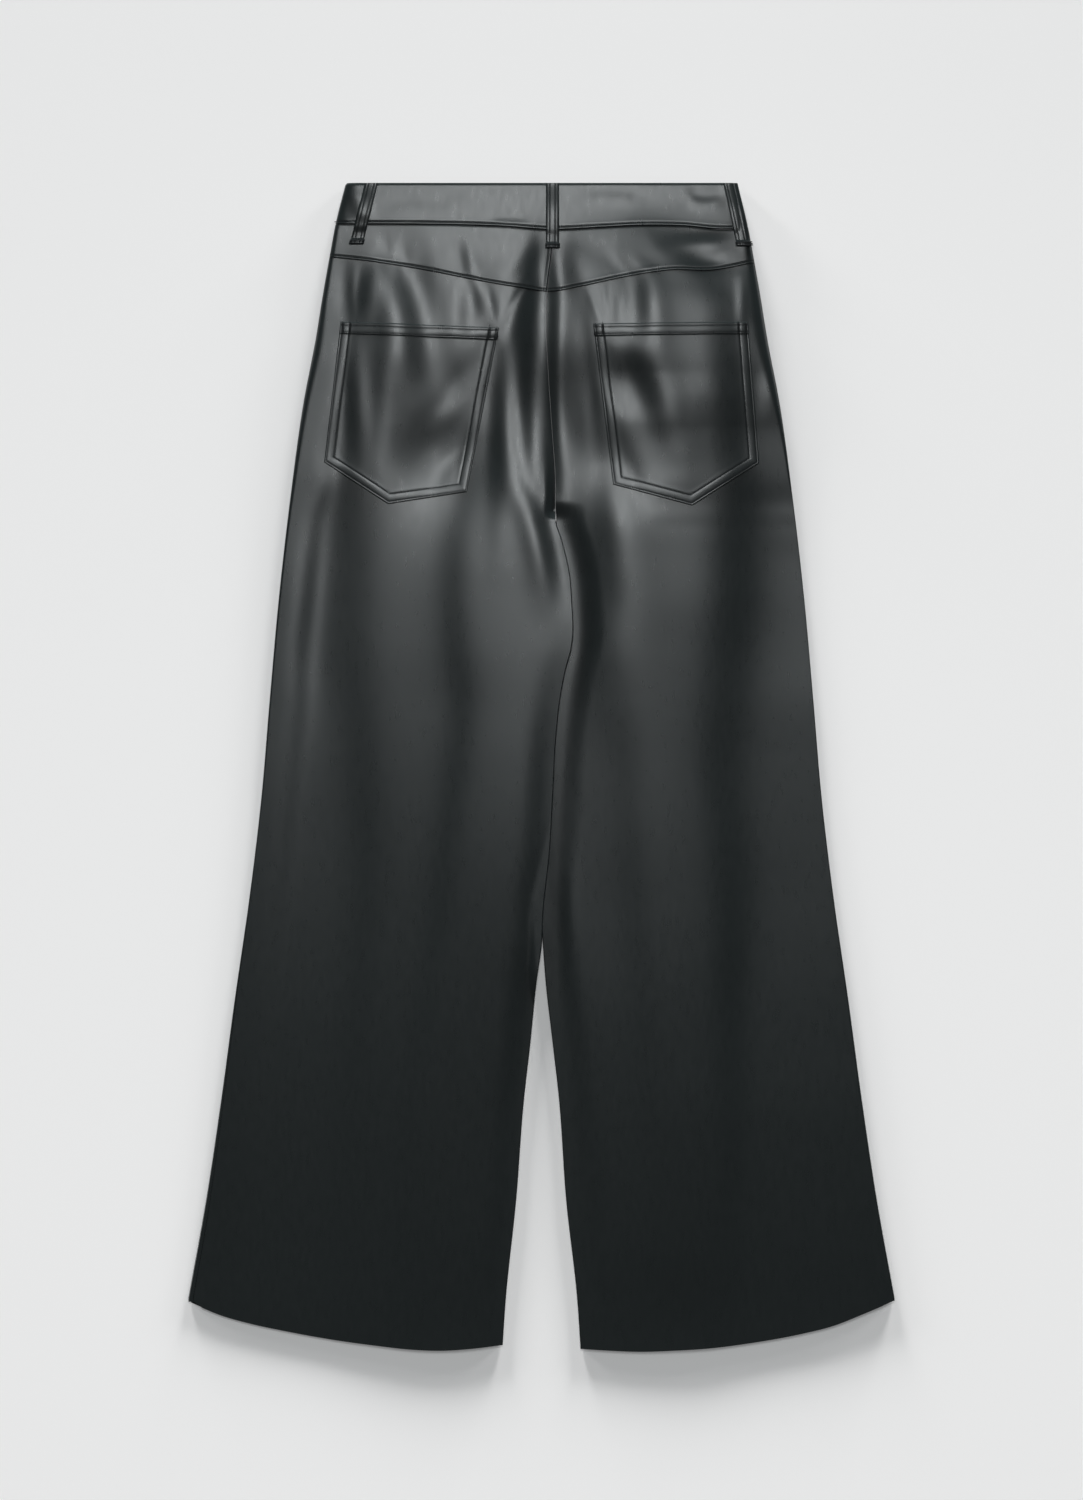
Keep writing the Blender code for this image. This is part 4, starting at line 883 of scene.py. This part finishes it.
def yoke(side):
    """Back yoke half: a strip between the waist seam and the yoke seam."""
    inner_steps = (SEAM_GAP / 2,) + BACK_INNER_STEPS
    side_steps = (0.55,) + tuple(step + 0.5 for step in BACK_SIDE_STEPS)
    plan = column_plan(inner_steps, BACK_MIDDLE, side_steps)
    x, drop = place_strip(side, plan, lambda at: waist_seam(at) + SEAM_GAP / 2,
                          lambda at: yoke_seam(at) - SEAM_GAP / 2,
                          TOP_STEPS, YOKE_MIDDLE, LOW_STEPS)
    outer = stack(x, drop, back_height(side, x, drop, YOKE_PROUD))
    normal = square_rows(square_center_seam(outward(outer, True), drop, 0))
    inner = outer - WALL * normal
    relief = turned_edge(yoke_seam(x) - drop) + raised(drop, waist_seam(x), -0.2, 0.9)
    if side < 0:
        relief = relief + 0.8 * turned_edge(inner_edge(side, drop) - x, 0.75)
    outer = outer + relief[..., None] * normal
    name = "yoke_" + column_of(side)
    piece = sew_wall(name + "_cloth", outer[:, :-1], inner[:, :-1], leg_finish)
    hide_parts(name)
    return piece


for leg_side in (-1, 1):
    panel = yoke(leg_side)


# ---------------------------------------------------------------------------------------
# Back pockets. Each is a patch with a pointed bottom and a turned top hem, sewn on the
# back leg with two rows of stitches round its sides and bottom. It follows the leg.
# ---------------------------------------------------------------------------------------
POCKET_GAP = 0.45
POCKET_HEM = 10.5
POCKET_HEM_RISE = 0.5
POCKET_OUTER_ROW = 1.8      # stitch rows' distances in from the patch's edge
POCKET_INNER_ROW = 8.4
POCKET_HEM_ROWS = (2.9, 9.4)

Pocket = namedtuple("Pocket", "name side top_left top_right low_left point low_right")
POCKETS = [
    Pocket("pocket_left", -1, (-180.5, 125.3), (-38.3, 130.5), (-195.6, 251.4),
           (-138.0, 289.0), (-67.0, 278.1)),
    Pocket("pocket_right", 1, (46.4, 127.6), (185.4, 125.8), (64.4, 271.6),
           (135.5, 290.6), (195.8, 252.2)),
]
EDGE_STEPS = (0.0, 0.3, 0.7, 1.1, 1.45, 1.8, 2.15, 2.6, 3.3, 4.3, 5.4, 6.4, 7.2, 7.8, 8.1,
              8.4, 8.7, 9.1, 9.9, 11.2, 13.0)
HEM_STEPS = (0.0, 0.4, 0.9, 1.5, 2.1, 2.5, 2.9, 3.3, 3.8, 4.8, 6.2, 7.6, 8.5, 9.0, 9.4, 9.8,
             10.2, 10.5, 10.8, 11.3, 12.2, 14.0)
PATCH_COLUMNS = 62
PATCH_ROWS = 66


def sewn_sides(pocket):
    """The bent line that a pocket is sewn along, from one top corner to the other."""
    return [pocket.top_left, pocket.low_left, pocket.point, pocket.low_right,
            pocket.top_right]


def from_bent_line(line, x, drop):
    """Distance to the nearest place on a bent line."""
    points = np.array(line, float)
    nearest = np.full(np.shape(x), np.inf)
    for start, end in zip(points[:-1], points[1:]):
        step = end - start
        share = ((x - start[0]) * step[0] + (drop - start[1]) * step[1]) / (step @ step)
        share = np.clip(share, 0.0, 1.0)
        off_x, off_drop = x - start[0] - share * step[0], drop - start[1] - share * step[1]
        nearest = np.minimum(nearest, np.hypot(off_x, off_drop))
    return nearest


def patch_relief(x, drop, pocket):
    """Relief of a sewn-on patch: lip, two stitched grooves, puffed strip and top hem."""
    from_side = from_bent_line(sewn_sides(pocket), x, drop)
    from_top = from_bent_line([pocket.top_left, pocket.top_right], x, drop)
    below_hem = ease((from_top - POCKET_HEM + 0.3) / 0.8)
    strip = np.clip((from_side - POCKET_OUTER_ROW)
                    / (POCKET_INNER_ROW - POCKET_OUTER_ROW), 0, 1)
    relief = (rounded(from_side, 0.5, 0.6) + 0.15 * np.sin(np.pi * strip)
              + raised(from_side, POCKET_OUTER_ROW, -0.09, 0.42)
              + raised(from_side, POCKET_INNER_ROW, -0.11, 0.42)
              + raised(from_side, POCKET_INNER_ROW + 1.6, 0.06, 0.9))
    hem = POCKET_HEM_RISE + rounded(from_top, 0.5, 0.7)
    for row in POCKET_HEM_ROWS:
        hem = hem + raised(from_top, row, -0.11, 0.42)
    hem = hem + raised(from_top, sum(POCKET_HEM_ROWS) / 2, 0.16, 2.2)
    return relief + hem * (1 - below_hem)


def patch_pocket(pocket):
    """Patch on the back leg, made from the panel's surface moved out."""
    top_left, top_right, low_left, point, low_right = (
        np.array(corner) for corner in pocket[2:])
    plan = [(0.0, step, EDGE_STEPS[-1]) for step in EDGE_STEPS]
    plan += [(i / PATCH_COLUMNS, EDGE_STEPS[-1], EDGE_STEPS[-1])
             for i in range(1, PATCH_COLUMNS)]
    plan += [(1.0, EDGE_STEPS[-1], step) for step in reversed(EDGE_STEPS)]
    share, from_left, from_right = (np.array(values) for values in zip(*plan))
    top_width = np.linalg.norm(top_right - top_left)
    along_top = from_left + (top_width - from_left - from_right) * share
    top = top_left + (top_right - top_left) * (along_top / top_width)[:, None]
    low_x = low_left[0] + from_left + (low_right[0] - low_left[0] - from_left
                                       - from_right) * share
    bottom = np.array([low_left, point, low_right])
    low_drop = np.interp(low_x, bottom[:, 0], bottom[:, 1])
    low = np.stack((low_x, low_drop), axis=-1)
    lean = np.where(low_x < point[0], *[
        np.linalg.norm(end - start) / abs(end[0] - start[0])
        for start, end in ((low_left, point), (point, low_right))])
    length = np.linalg.norm(low - top, axis=1)
    offsets = [np.full_like(length, step) for step in HEM_STEPS]
    end = length - EDGE_STEPS[-1] * lean
    offsets += [HEM_STEPS[-1] + (end - HEM_STEPS[-1]) * i / PATCH_ROWS
                for i in range(1, PATCH_ROWS)]
    offsets += [length - step * lean for step in reversed(EDGE_STEPS)]
    down = np.array(offsets) / length
    grid = top[None] + (low - top)[None] * down[..., None]
    x, drop = grid[..., 0], grid[..., 1]
    panel = stack(x, drop, back_height(pocket.side, x, drop))
    normal = outward(panel, True)
    relief = patch_relief(x, drop, pocket)
    low_skin = panel + POCKET_GAP * normal
    top_skin = panel + (POCKET_GAP + WALL + relief)[..., None] * normal
    piece = sew_wall(pocket.name + "_cloth", top_skin, low_skin, leg_finish)
    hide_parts(pocket.name)
    return piece


for patch in POCKETS:
    panel = patch_pocket(patch)
    "back_leg_" + column_of(patch.side) + "_cloth"


# ---------------------------------------------------------------------------------------
# Waistband. One straight double strip with an interlining round the waist, lapped over
# the yokes and topstitched along its lower edge. Its ends meet at the hidden centre front.
# ---------------------------------------------------------------------------------------
BAND_WALL = 2.2
BAND_PROUD = 1.2
BAND_ROLL = 2.6
BAND_TURN_RADIUS = 2.5
BAND_UNDER_IN = 8.0         # the flat underside ends this far inside the side edge
BAND_CREASE_FADE = 0.3
BAND_TOP_STEPS = (0.0, 0.35, 0.8, 1.4, 2.2, 3.4, 5.0, 7.0)
BAND_MIDDLE = 11
BAND_CREASES = [Crease(*row) for row in (
    ("band hollow left of the center loop", 0, "fall", 4, 0.35,
     ((-50, 33), (-30, 34), (-6, 34))),
    ("band dent at the left end", 0, "fall", 7, 0.8, ((-180, 4), (-171, 18), (-168, 36))),
    ("band wave at the right end", 0, "fall", 5, 0.5, ((128, 12), (148, 15), (168, 12))),
    ("band wave right of the middle", 0, "fall", 5, 0.25, ((30, 12), (60, 10), (95, 13))),
    ("band wave left of the middle", 0, "fall", 6, 0.2, ((-150, 24), (-110, 20), (-70, 22))),
)]


def band_height(x, drop):
    """Height of the waistband's outer surface."""
    folds = np.where(x > inner_edge(1, drop), fold_height(1, x, drop),
                     fold_height(-1, x, drop))
    height = curve(LAY, "height", drop) + BAND_PROUD + folds
    for crease in BAND_CREASES:
        height = height + crease_rise(crease, x, drop, BAND_CREASE_FADE)
    from_edge = curve(SIDE_EDGE, "half_width", drop) - np.abs(x)
    return crown(from_edge, height, BAND_ROLL, BAND_TURN_RADIUS)


def waistband():
    """The whole loop: under to the left and right, round both sides and over the back."""
    low_steps = LOW_STEPS[:-1]
    count = len(BAND_TOP_STEPS) + BAND_MIDDLE - 1 + len(low_steps)
    under = np.linspace(0.0, 1.0, 62)
    turn = np.radians(np.linspace(0.0, 90.0, 8))
    over = np.array((0.4, 0.9, 1.5, 2.3, 3.3, 4.6, 6.4, 8.6, 11.0))
    across = np.linspace(0.0, 1.0, 70)[1:]
    halves = []
    for side in (1, -1):
        start = inner_edge(side, 0.0) + side * SEAM_GAP / 2
        points = []
        for kind, values in (("under", under), ("turn", turn), ("over", over),
                             ("across", across)):
            for value in values:
                drop = np.linspace(0.0, WAIST_SEAM_DROP, count)
                for _ in range(4):
                    half_width = curve(SIDE_EDGE, "half_width", drop)
                    if kind == "under":
                        x = start + (side * (half_width - BAND_UNDER_IN) - start) * value
                    elif kind == "turn":
                        x = side * (half_width - BAND_ROLL * (1 - np.sin(value)))
                    elif kind == "over":
                        x = side * (half_width - value)
                    else:
                        x = side * (half_width - over[-1]) * (1 - value)
                    lower = front_waist_seam(x) if kind in ("under", "turn") else waist_seam(x)
                    lower = lower - SEAM_GAP / 2
                    drop = np.concatenate((
                        BAND_TOP_STEPS,
                        [BAND_TOP_STEPS[-1] + (lower[len(BAND_TOP_STEPS) - 1 + k]
                                               - low_steps[-1] - BAND_TOP_STEPS[-1])
                         * k / BAND_MIDDLE for k in range(1, BAND_MIDDLE)],
                        lower[-len(low_steps):] - low_steps[::-1]))
                if kind == "turn":
                    z = np.full_like(x, BAND_ROLL * (1 - np.cos(value)))
                elif kind == "under":
                    z = np.zeros_like(x)
                else:
                    z = band_height(x, drop)
                points.append(stack(x, drop, z))
        halves.append(points)
    right, left = halves
    outer = np.stack(right + left[-2::-1], axis=1)
    normal = np.cross(slope_of(outer, 1), slope_of(outer, 0))
    normal /= np.linalg.norm(normal, axis=-1, keepdims=True)
    if normal[0, 0, 2] > 0:
        normal = -normal
    normal[:, 0] = normal[:, -1] = (0.0, 0.0, -1.0)
    normal = square_rows(normal)
    inner = outer - BAND_WALL * normal
    drop = LENGTH / 2 - outer[..., 1]
    lower = np.where(normal[..., 2] > 0, waist_seam(outer[..., 0]),
                     front_waist_seam(outer[..., 0]))
    relief = turned_edge(lower - drop) + rounded(drop, 1.0, 2.2)
    relief = np.where(normal[..., 2] > -0.5, relief, np.minimum(relief, 0.0))
    outer = outer + relief[..., None] * normal
    piece = sew_wall("waistband_cloth", outer, inner, leg_finish)
    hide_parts("waistband")
    return piece


band = waistband()


# ---------------------------------------------------------------------------------------
# Belt loops. Three folded strips with two rows of stitches, caught in the band's top edge
# and turned under at the foot, where a bar of stitches holds them on the yoke.
# ---------------------------------------------------------------------------------------
LOOP_WIDTH = 11.8
LOOP_THICKNESS = 1.9
LOOP_BOW = 2.0
LOOP_FOOT = 5.0
LOOP_FOOT_RISE = 0.9
LOOP_ROWS_APART = 5.2
LOOP_TOP = 0.6              # drop of the loop's upper end
LOOP_EDGE_IN = 0.4          # the loops keep this far inside the side edges
LOOP_RUN_OFF = (0.8, 7.0)   # a loop starts down this far past the waist seam, for so long

Loop = namedtuple("Loop", "name x_top x_foot drop_foot")
LOOPS = [
    Loop("belt_loop_left", -153.0, -166.6, 55.6),
    Loop("belt_loop_center", 9.9, 9.9, 59.4),
    Loop("belt_loop_right", 169.4, 181.6, 57.6),
]
LOOP_ACROSS = (-0.5, -0.46, -0.4, -0.33, -0.28, -0.24, -0.22, -0.2, -0.16, -0.08, 0.0,
               0.08, 0.16, 0.2, 0.22, 0.24, 0.28, 0.33, 0.4, 0.46, 0.5)


def loop_surface(loop, shares, across):
    """Carrier points, normals and rise of a loop at shares of its length."""
    side = 1 if loop.x_foot > 0 else -1
    foot_share = 1 - LOOP_FOOT / loop.drop_foot
    drop = LOOP_TOP + (loop.drop_foot - LOOP_TOP) * shares
    drop = np.repeat(drop[:, None], len(across), axis=1)
    x = (loop.x_top + (loop.x_foot - loop.x_top) * shares)[:, None] + across[None, :]
    half_width = curve(SIDE_EDGE, "half_width", drop)
    x = np.clip(x, LOOP_EDGE_IN - half_width, half_width - LOOP_EDGE_IN)
    seam = waist_seam(x)
    on_band = band_height(x, np.minimum(drop, seam))
    on_yoke = back_height(side, x, drop, YOKE_PROUD)
    past_seam = ease((drop - seam - LOOP_RUN_OFF[0]) / LOOP_RUN_OFF[1])
    carrier = on_yoke + np.maximum(on_band - on_yoke, 0.0) * (1 - past_seam)
    surface = stack(x, drop, carrier)
    bow = LOOP_BOW * np.sin(np.pi * np.clip(shares / foot_share, 0.0, 1.0)) ** 1.5
    return surface, outward(surface, True), bow, foot_share


def belt_loop(loop):
    """Folded strip over the waistband: sewn at the band's top edge, foot on the yoke."""
    shares = np.linspace(0.0, 1.0, 66)
    across = np.array(LOOP_ACROSS) * LOOP_WIDTH
    surface, normal, bow, foot_share = loop_surface(loop, shares, across)
    to_end = (1 - shares) * loop.drop_foot
    foot = LOOP_FOOT_RISE * ease((LOOP_FOOT - to_end) / 1.2) * ease((to_end + 0.4) / 0.9)
    relief = -0.45 * (np.abs(LOOP_ACROSS) / 0.5) ** 6
    for row in (-LOOP_ROWS_APART / 2, LOOP_ROWS_APART / 2):
        relief = relief + raised(across, row, -0.16, 0.45)
    low_skin = surface + (SEAM_GAP + bow)[:, None, None] * normal
    thickness = LOOP_THICKNESS + foot[:, None] + relief[None, :]
    top_skin = low_skin + thickness[..., None] * normal
    piece = sew_wall(loop.name + "_cloth", top_skin, low_skin, loop_finish_with_painted_shade)
    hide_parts(loop.name)
    return piece


# The loops are the same cloth as the band, painted a tenth darker: painted shade standing for
# the dimmer look of the bowed loops.
loop_finish_with_painted_shade = leather_finish("faux leather of the belt loops", tone=0.9)
for strip in LOOPS:
    panel = belt_loop(strip)


# ---------------------------------------------------------------------------------------
# Stitches. Near-black thread in rows along every turned edge, two rows round each pocket
# and down each loop, and bars across the loops' feet and the pockets' top corners.
# ---------------------------------------------------------------------------------------
def stitch_tree():
    """Geometry Nodes: stitches laid at an even pitch along lines of sewing."""
    tree = bpy.data.node_groups.new("row of stitches", "GeometryNodeTree")
    tree.interface.new_socket("Lines", in_out="INPUT", socket_type="NodeSocketGeometry")
    number_inputs(tree, (("Pitch", 0.002), ("Stitch Length", 0.0014),
                         ("Thread Radius", 0.00032), ("Arch", 0.0002)))
    seed = tree.interface.new_socket("Seed", in_out="INPUT", socket_type="NodeSocketInt")
    seed.default_value = 3
    tree.interface.new_socket("Thread", in_out="INPUT", socket_type="NodeSocketMaterial")
    tree.interface.new_socket("Stitches", in_out="OUTPUT", socket_type="NodeSocketGeometry")
    nodes, links = tree.nodes, tree.links
    entry = nodes.new("NodeGroupInput")
    result = nodes.new("NodeGroupOutput")
    line = nodes.new("GeometryNodeMeshToCurve")
    pitch = nodes.new("GeometryNodeResampleCurve")
    pitch.mode = "LENGTH"
    wire(links, (entry, "Lines", line, "Mesh"),
         (line, "Curve", pitch, "Curve"),
         (entry, "Pitch", pitch, "Length"))
    arc = nodes.new("GeometryNodeCurveQuadraticBezier")
    arc.inputs["Resolution"].default_value = 4
    for label, along, height in (("Start", -0.5, -1.2), ("Middle", 0.0, 1.4),
                                 ("End", 0.5, -1.2)):
        place = nodes.new("ShaderNodeCombineXYZ")
        for source, share, axis in (("Stitch Length", along, "X"), ("Arch", height, "Z")):
            part = nodes.new("ShaderNodeMath")
            part.operation = "MULTIPLY"
            part.inputs[1].default_value = share
            wire(links, (entry, source, part, 0),
                 (part, "Value", place, axis))
        wire(links, (place, "Vector", arc, label))
    ring = nodes.new("GeometryNodeCurvePrimitiveCircle")
    ring.inputs["Resolution"].default_value = 5
    wire(links, (entry, "Thread Radius", ring, "Radius"))
    thread = nodes.new("GeometryNodeCurveToMesh")
    thread.inputs["Fill Caps"].default_value = True
    wire(links, (arc, "Curve", thread, "Curve"),
         (ring, "Curve", thread, "Profile Curve"))
    tangent = nodes.new("GeometryNodeInputTangent")
    turn = nodes.new("FunctionNodeAlignRotationToVector")
    turn.axis, turn.pivot_axis = "X", "Z"
    tilt = nodes.new("FunctionNodeAlignRotationToVector")
    tilt.axis, tilt.pivot_axis = "X", "Y"
    wire(links, (tangent, "Tangent", turn, "Vector"),
         (tangent, "Tangent", tilt, "Vector"),
         (turn, "Rotation", tilt, "Rotation"))
    wobble = nodes.new("FunctionNodeRandomValue")
    wobble.data_type = "FLOAT_VECTOR"
    wobble.inputs["Min"].default_value = (0.0, -0.03, -0.07)
    wobble.inputs["Max"].default_value = (0.0, 0.03, 0.07)
    wire(links, (entry, "Seed", wobble, "Seed"))
    slant = nodes.new("FunctionNodeEulerToRotation")
    wire(links, (wobble, "Value", slant, "Euler"))
    turned = nodes.new("FunctionNodeRotateRotation")
    turned.rotation_space = "LOCAL"
    wire(links, (tilt, "Rotation", turned, "Rotation"),
         (slant, "Rotation", turned, "Rotate By"))
    size = nodes.new("FunctionNodeRandomValue")
    size.data_type = "FLOAT"
    size.inputs["Min"].default_value = 0.9
    size.inputs["Max"].default_value = 1.06
    wire(links, (entry, "Seed", size, "Seed"))
    row = nodes.new("GeometryNodeInstanceOnPoints")
    wire(links, (pitch, "Curve", row, "Points"),
         (thread, "Mesh", row, "Instance"),
         (turned, "Rotation", row, "Rotation"),
         (size, "Value", row, "Scale"))
    real = nodes.new("GeometryNodeRealizeInstances")
    shaded = nodes.new("GeometryNodeSetShadeSmooth")
    colored = nodes.new("GeometryNodeSetMaterial")
    wire(links, (row, "Instances", real, "Geometry"),
         (real, "Geometry", shaded, "Geometry"),
         (shaded, "Geometry", colored, "Geometry"),
         (entry, "Thread", colored, "Material"),
         (colored, "Geometry", result, "Stitches"))
    return tree


def thread_finish():
    """Matt near-black polyester thread with its twist."""
    finish = bpy.data.materials.new("near-black thread")
    finish.use_nodes = True
    nodes, links = finish.node_tree.nodes, finish.node_tree.links
    shader = nodes["Principled BSDF"]
    place = nodes.new("ShaderNodeTexCoord")
    twist = nodes.new("ShaderNodeTexNoise")
    twist.inputs["Scale"].default_value = 2600.0
    color = nodes.new("ShaderNodeMix")
    color.data_type = "RGBA"
    color.inputs["A"].default_value = (0.004, 0.005, 0.0055, 1.0)
    color.inputs["B"].default_value = (0.012, 0.013, 0.014, 1.0)
    bump = nodes.new("ShaderNodeBump")
    bump.inputs["Strength"].default_value = 0.4
    bump.inputs["Distance"].default_value = 0.00005
    wire(links, (place, "Object", twist, "Vector"),
         (twist, "Fac", color, "Factor"),
         (twist, "Fac", bump, "Height"),
         (color, "Result", shader, "Base Color"),
         (bump, "Normal", shader, "Normal"))
    shader.inputs["Roughness"].default_value = 0.75
    return finish


STITCHES = stitch_tree()
THREAD = thread_finish()
SOCKETS = {item.name: item.identifier for item in STITCHES.interface.items_tree
           if item.in_out == "INPUT"}


def sew(name, lines, pitch=2.0, length=1.4, radius=0.32, arch=0.2):
    """Stitches along lines of points in millimetres, as one plain mesh."""
    points, edges = [], []
    for line in lines:
        first = len(points)
        points += [tuple(point * MM) for point in line]
        edges += [(i, i + 1) for i in range(first, len(points) - 1)]
    mesh = bpy.data.meshes.new(name)
    mesh.from_pydata(points, edges, [])
    rows = add_object(name + "_lines", mesh)
    sewing = rows.modifiers.new("sewing", "NODES")
    sewing.node_group = STITCHES
    for label, size in (("Pitch", pitch), ("Stitch Length", length),
                        ("Thread Radius", radius), ("Arch", arch)):
        sewing[SOCKETS[label]] = size * MM
    sewing[SOCKETS["Thread"]] = THREAD
    graph = bpy.context.evaluated_depsgraph_get()
    stitches = bpy.data.meshes.new_from_object(rows.evaluated_get(graph))
    rows.modifiers.remove(sewing)
    bpy.data.objects.remove(rows)
    piece = add_object(name, stitches)
    stitches.name = name
    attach(piece, "root")
    return piece


def on_back(x, drop, proud, side=None):
    """Points of a sewing line on the yokes or the back legs."""
    if side is None:
        z = np.where(x < inner_edge(-1, drop), back_height(-1, x, drop, proud),
                     back_height(1, x, drop, proud))
    else:
        z = back_height(side, x, drop, proud)
    return stack(x, drop, z)


SUNK = 0.08                  # the rows lie this far under the cloth's own surface
CENTER_SUNK = 0.12
WAIST_RUNS = ((-186.0, -174.5), (-159.5, 3.4), (16.4, 172.5))   # between the belt loops
YOKE_RUNS = ((-190.0, 4.0), (6.6, 190.0))

waist_rows = []
for start, end in WAIST_RUNS:
    x = np.linspace(start, end, 240)
    drop = waist_seam(x) - SEAM_GAP / 2 - STITCH_IN
    waist_rows.append(stack(x, drop, band_height(x, drop) - SUNK))
sew("stitches_waist_seam", waist_rows)

yoke_rows = []
for start, end in YOKE_RUNS:
    x = np.linspace(start, end, 240)
    drop = yoke_seam(x) - SEAM_GAP / 2 - STITCH_IN
    yoke_rows.append(on_back(x, drop, YOKE_PROUD) - np.array((0.0, 0.0, SUNK)))
drop = np.linspace(60.0, 93.0, 60)
x = inner_edge(-1, drop) - 2.1
yoke_rows.append(on_back(x, drop, YOKE_PROUD, -1) - np.array((0.0, 0.0, SUNK)))
sew("stitches_yokes", yoke_rows)

drop = np.linspace(101.0, 284.0, 200)
x = inner_edge(-1, drop) - 1.7
sew("stitches_center_seam", [on_back(x, drop, 0.0, -1) - np.array((0.0, 0.0, CENTER_SUNK))],
    radius=0.2)


PATCH_ROW_PROUD = 0.04


def inset(line, distance):
    """A bent line moved to its right by a distance, with mitred corners."""
    points = np.array(line, float)
    steps = np.diff(points, axis=0)
    unit = steps / np.linalg.norm(steps, axis=1)[:, None]
    away = np.stack((unit[:, 1], -unit[:, 0]), axis=-1)
    moved = [points[0] + away[0] * distance]
    for i in range(1, len(points) - 1):
        mitre = away[i - 1] + away[i]
        mitre = mitre / (1 + away[i - 1] @ away[i])
        moved.append(points[i] + mitre * distance)
    moved.append(points[-1] + away[-1] * distance)
    return np.array(moved)


def fill_in(line, step=1.2):
    """A bent line with points every step or so."""
    points = [line[0]]
    for start, end in zip(line[:-1], line[1:]):
        count = max(2, int(np.linalg.norm(end - start) / step))
        points += [start + (end - start) * i / count for i in range(1, count + 1)]
    return np.array(points)


def on_patch(line, pocket):
    """Sewing line on a pocket's outer surface."""
    x, drop = line[:, 0], line[:, 1]
    z = back_height(pocket.side, x, drop) + POCKET_GAP + WALL + patch_relief(x, drop, pocket)
    return stack(x, drop, z + PATCH_ROW_PROUD)


HEM_ROW_INSET = 0.012        # share of the pocket's width
BARTACK_WIDTH, BARTACK_LENGTH, BARTACK_PASSES = 2.4, 9.6, 18

for patch in POCKETS:
    lines = [on_patch(fill_in(inset(sewn_sides(patch), distance)), patch)
             for distance in (POCKET_OUTER_ROW, POCKET_INNER_ROW)]
    for distance in POCKET_HEM_ROWS:
        row = inset([patch.top_left, patch.top_right], -distance)
        along = row[1] - row[0]
        row = np.array([row[0] + along * HEM_ROW_INSET, row[1] - along * HEM_ROW_INSET])
        lines.append(on_patch(fill_in(row), patch))
    bars = []
    for corner, inwards in ((patch.top_left, 1), (patch.top_right, -1)):
        for reach in (POCKET_OUTER_ROW, POCKET_INNER_ROW):
            start = np.array(corner) + (inwards * (reach - BARTACK_WIDTH / 2),
                                        BARTACK_WIDTH / 2)
            line = [start + (BARTACK_WIDTH * inwards * (k % 2),
                             BARTACK_LENGTH * k / (BARTACK_PASSES - 1))
                    for k in range(BARTACK_PASSES)]
            bars.append(on_patch(np.array(line), patch))
    sew("stitches_" + patch.name, lines)
    sew("bartacks_" + patch.name, [fill_in(b, 0.6) for b in bars], pitch=0.8, length=1.1,
        radius=0.22, arch=0.2)

BAR_ROWS = (1.0, 2.4, 3.8)   # up from the loop's foot
BAR_HALF_WIDTH = 6.1

for strip in LOOPS:
    shares = np.linspace(0.03, 0.9, 90)
    rows_across = np.array((-LOOP_ROWS_APART / 2, 0.0, LOOP_ROWS_APART / 2))
    surface, normal, bow, _ = loop_surface(strip, shares, rows_across)
    top = surface + (SEAM_GAP + bow + LOOP_THICKNESS - 0.3)[:, None, None] * normal
    sew("stitches_" + strip.name, [top[:, 0], top[:, 2]])
    bar_shares = 1 - np.array(BAR_ROWS) / strip.drop_foot
    bar_across = np.linspace(-BAR_HALF_WIDTH, BAR_HALF_WIDTH, 30)
    surface, normal, bow, _ = loop_surface(strip, bar_shares, bar_across)
    top = surface + (SEAM_GAP + LOOP_THICKNESS + LOOP_FOOT_RISE) * normal
    sew("bartack_" + strip.name, list(top), pitch=0.8, length=1.1, radius=0.5, arch=0.1)
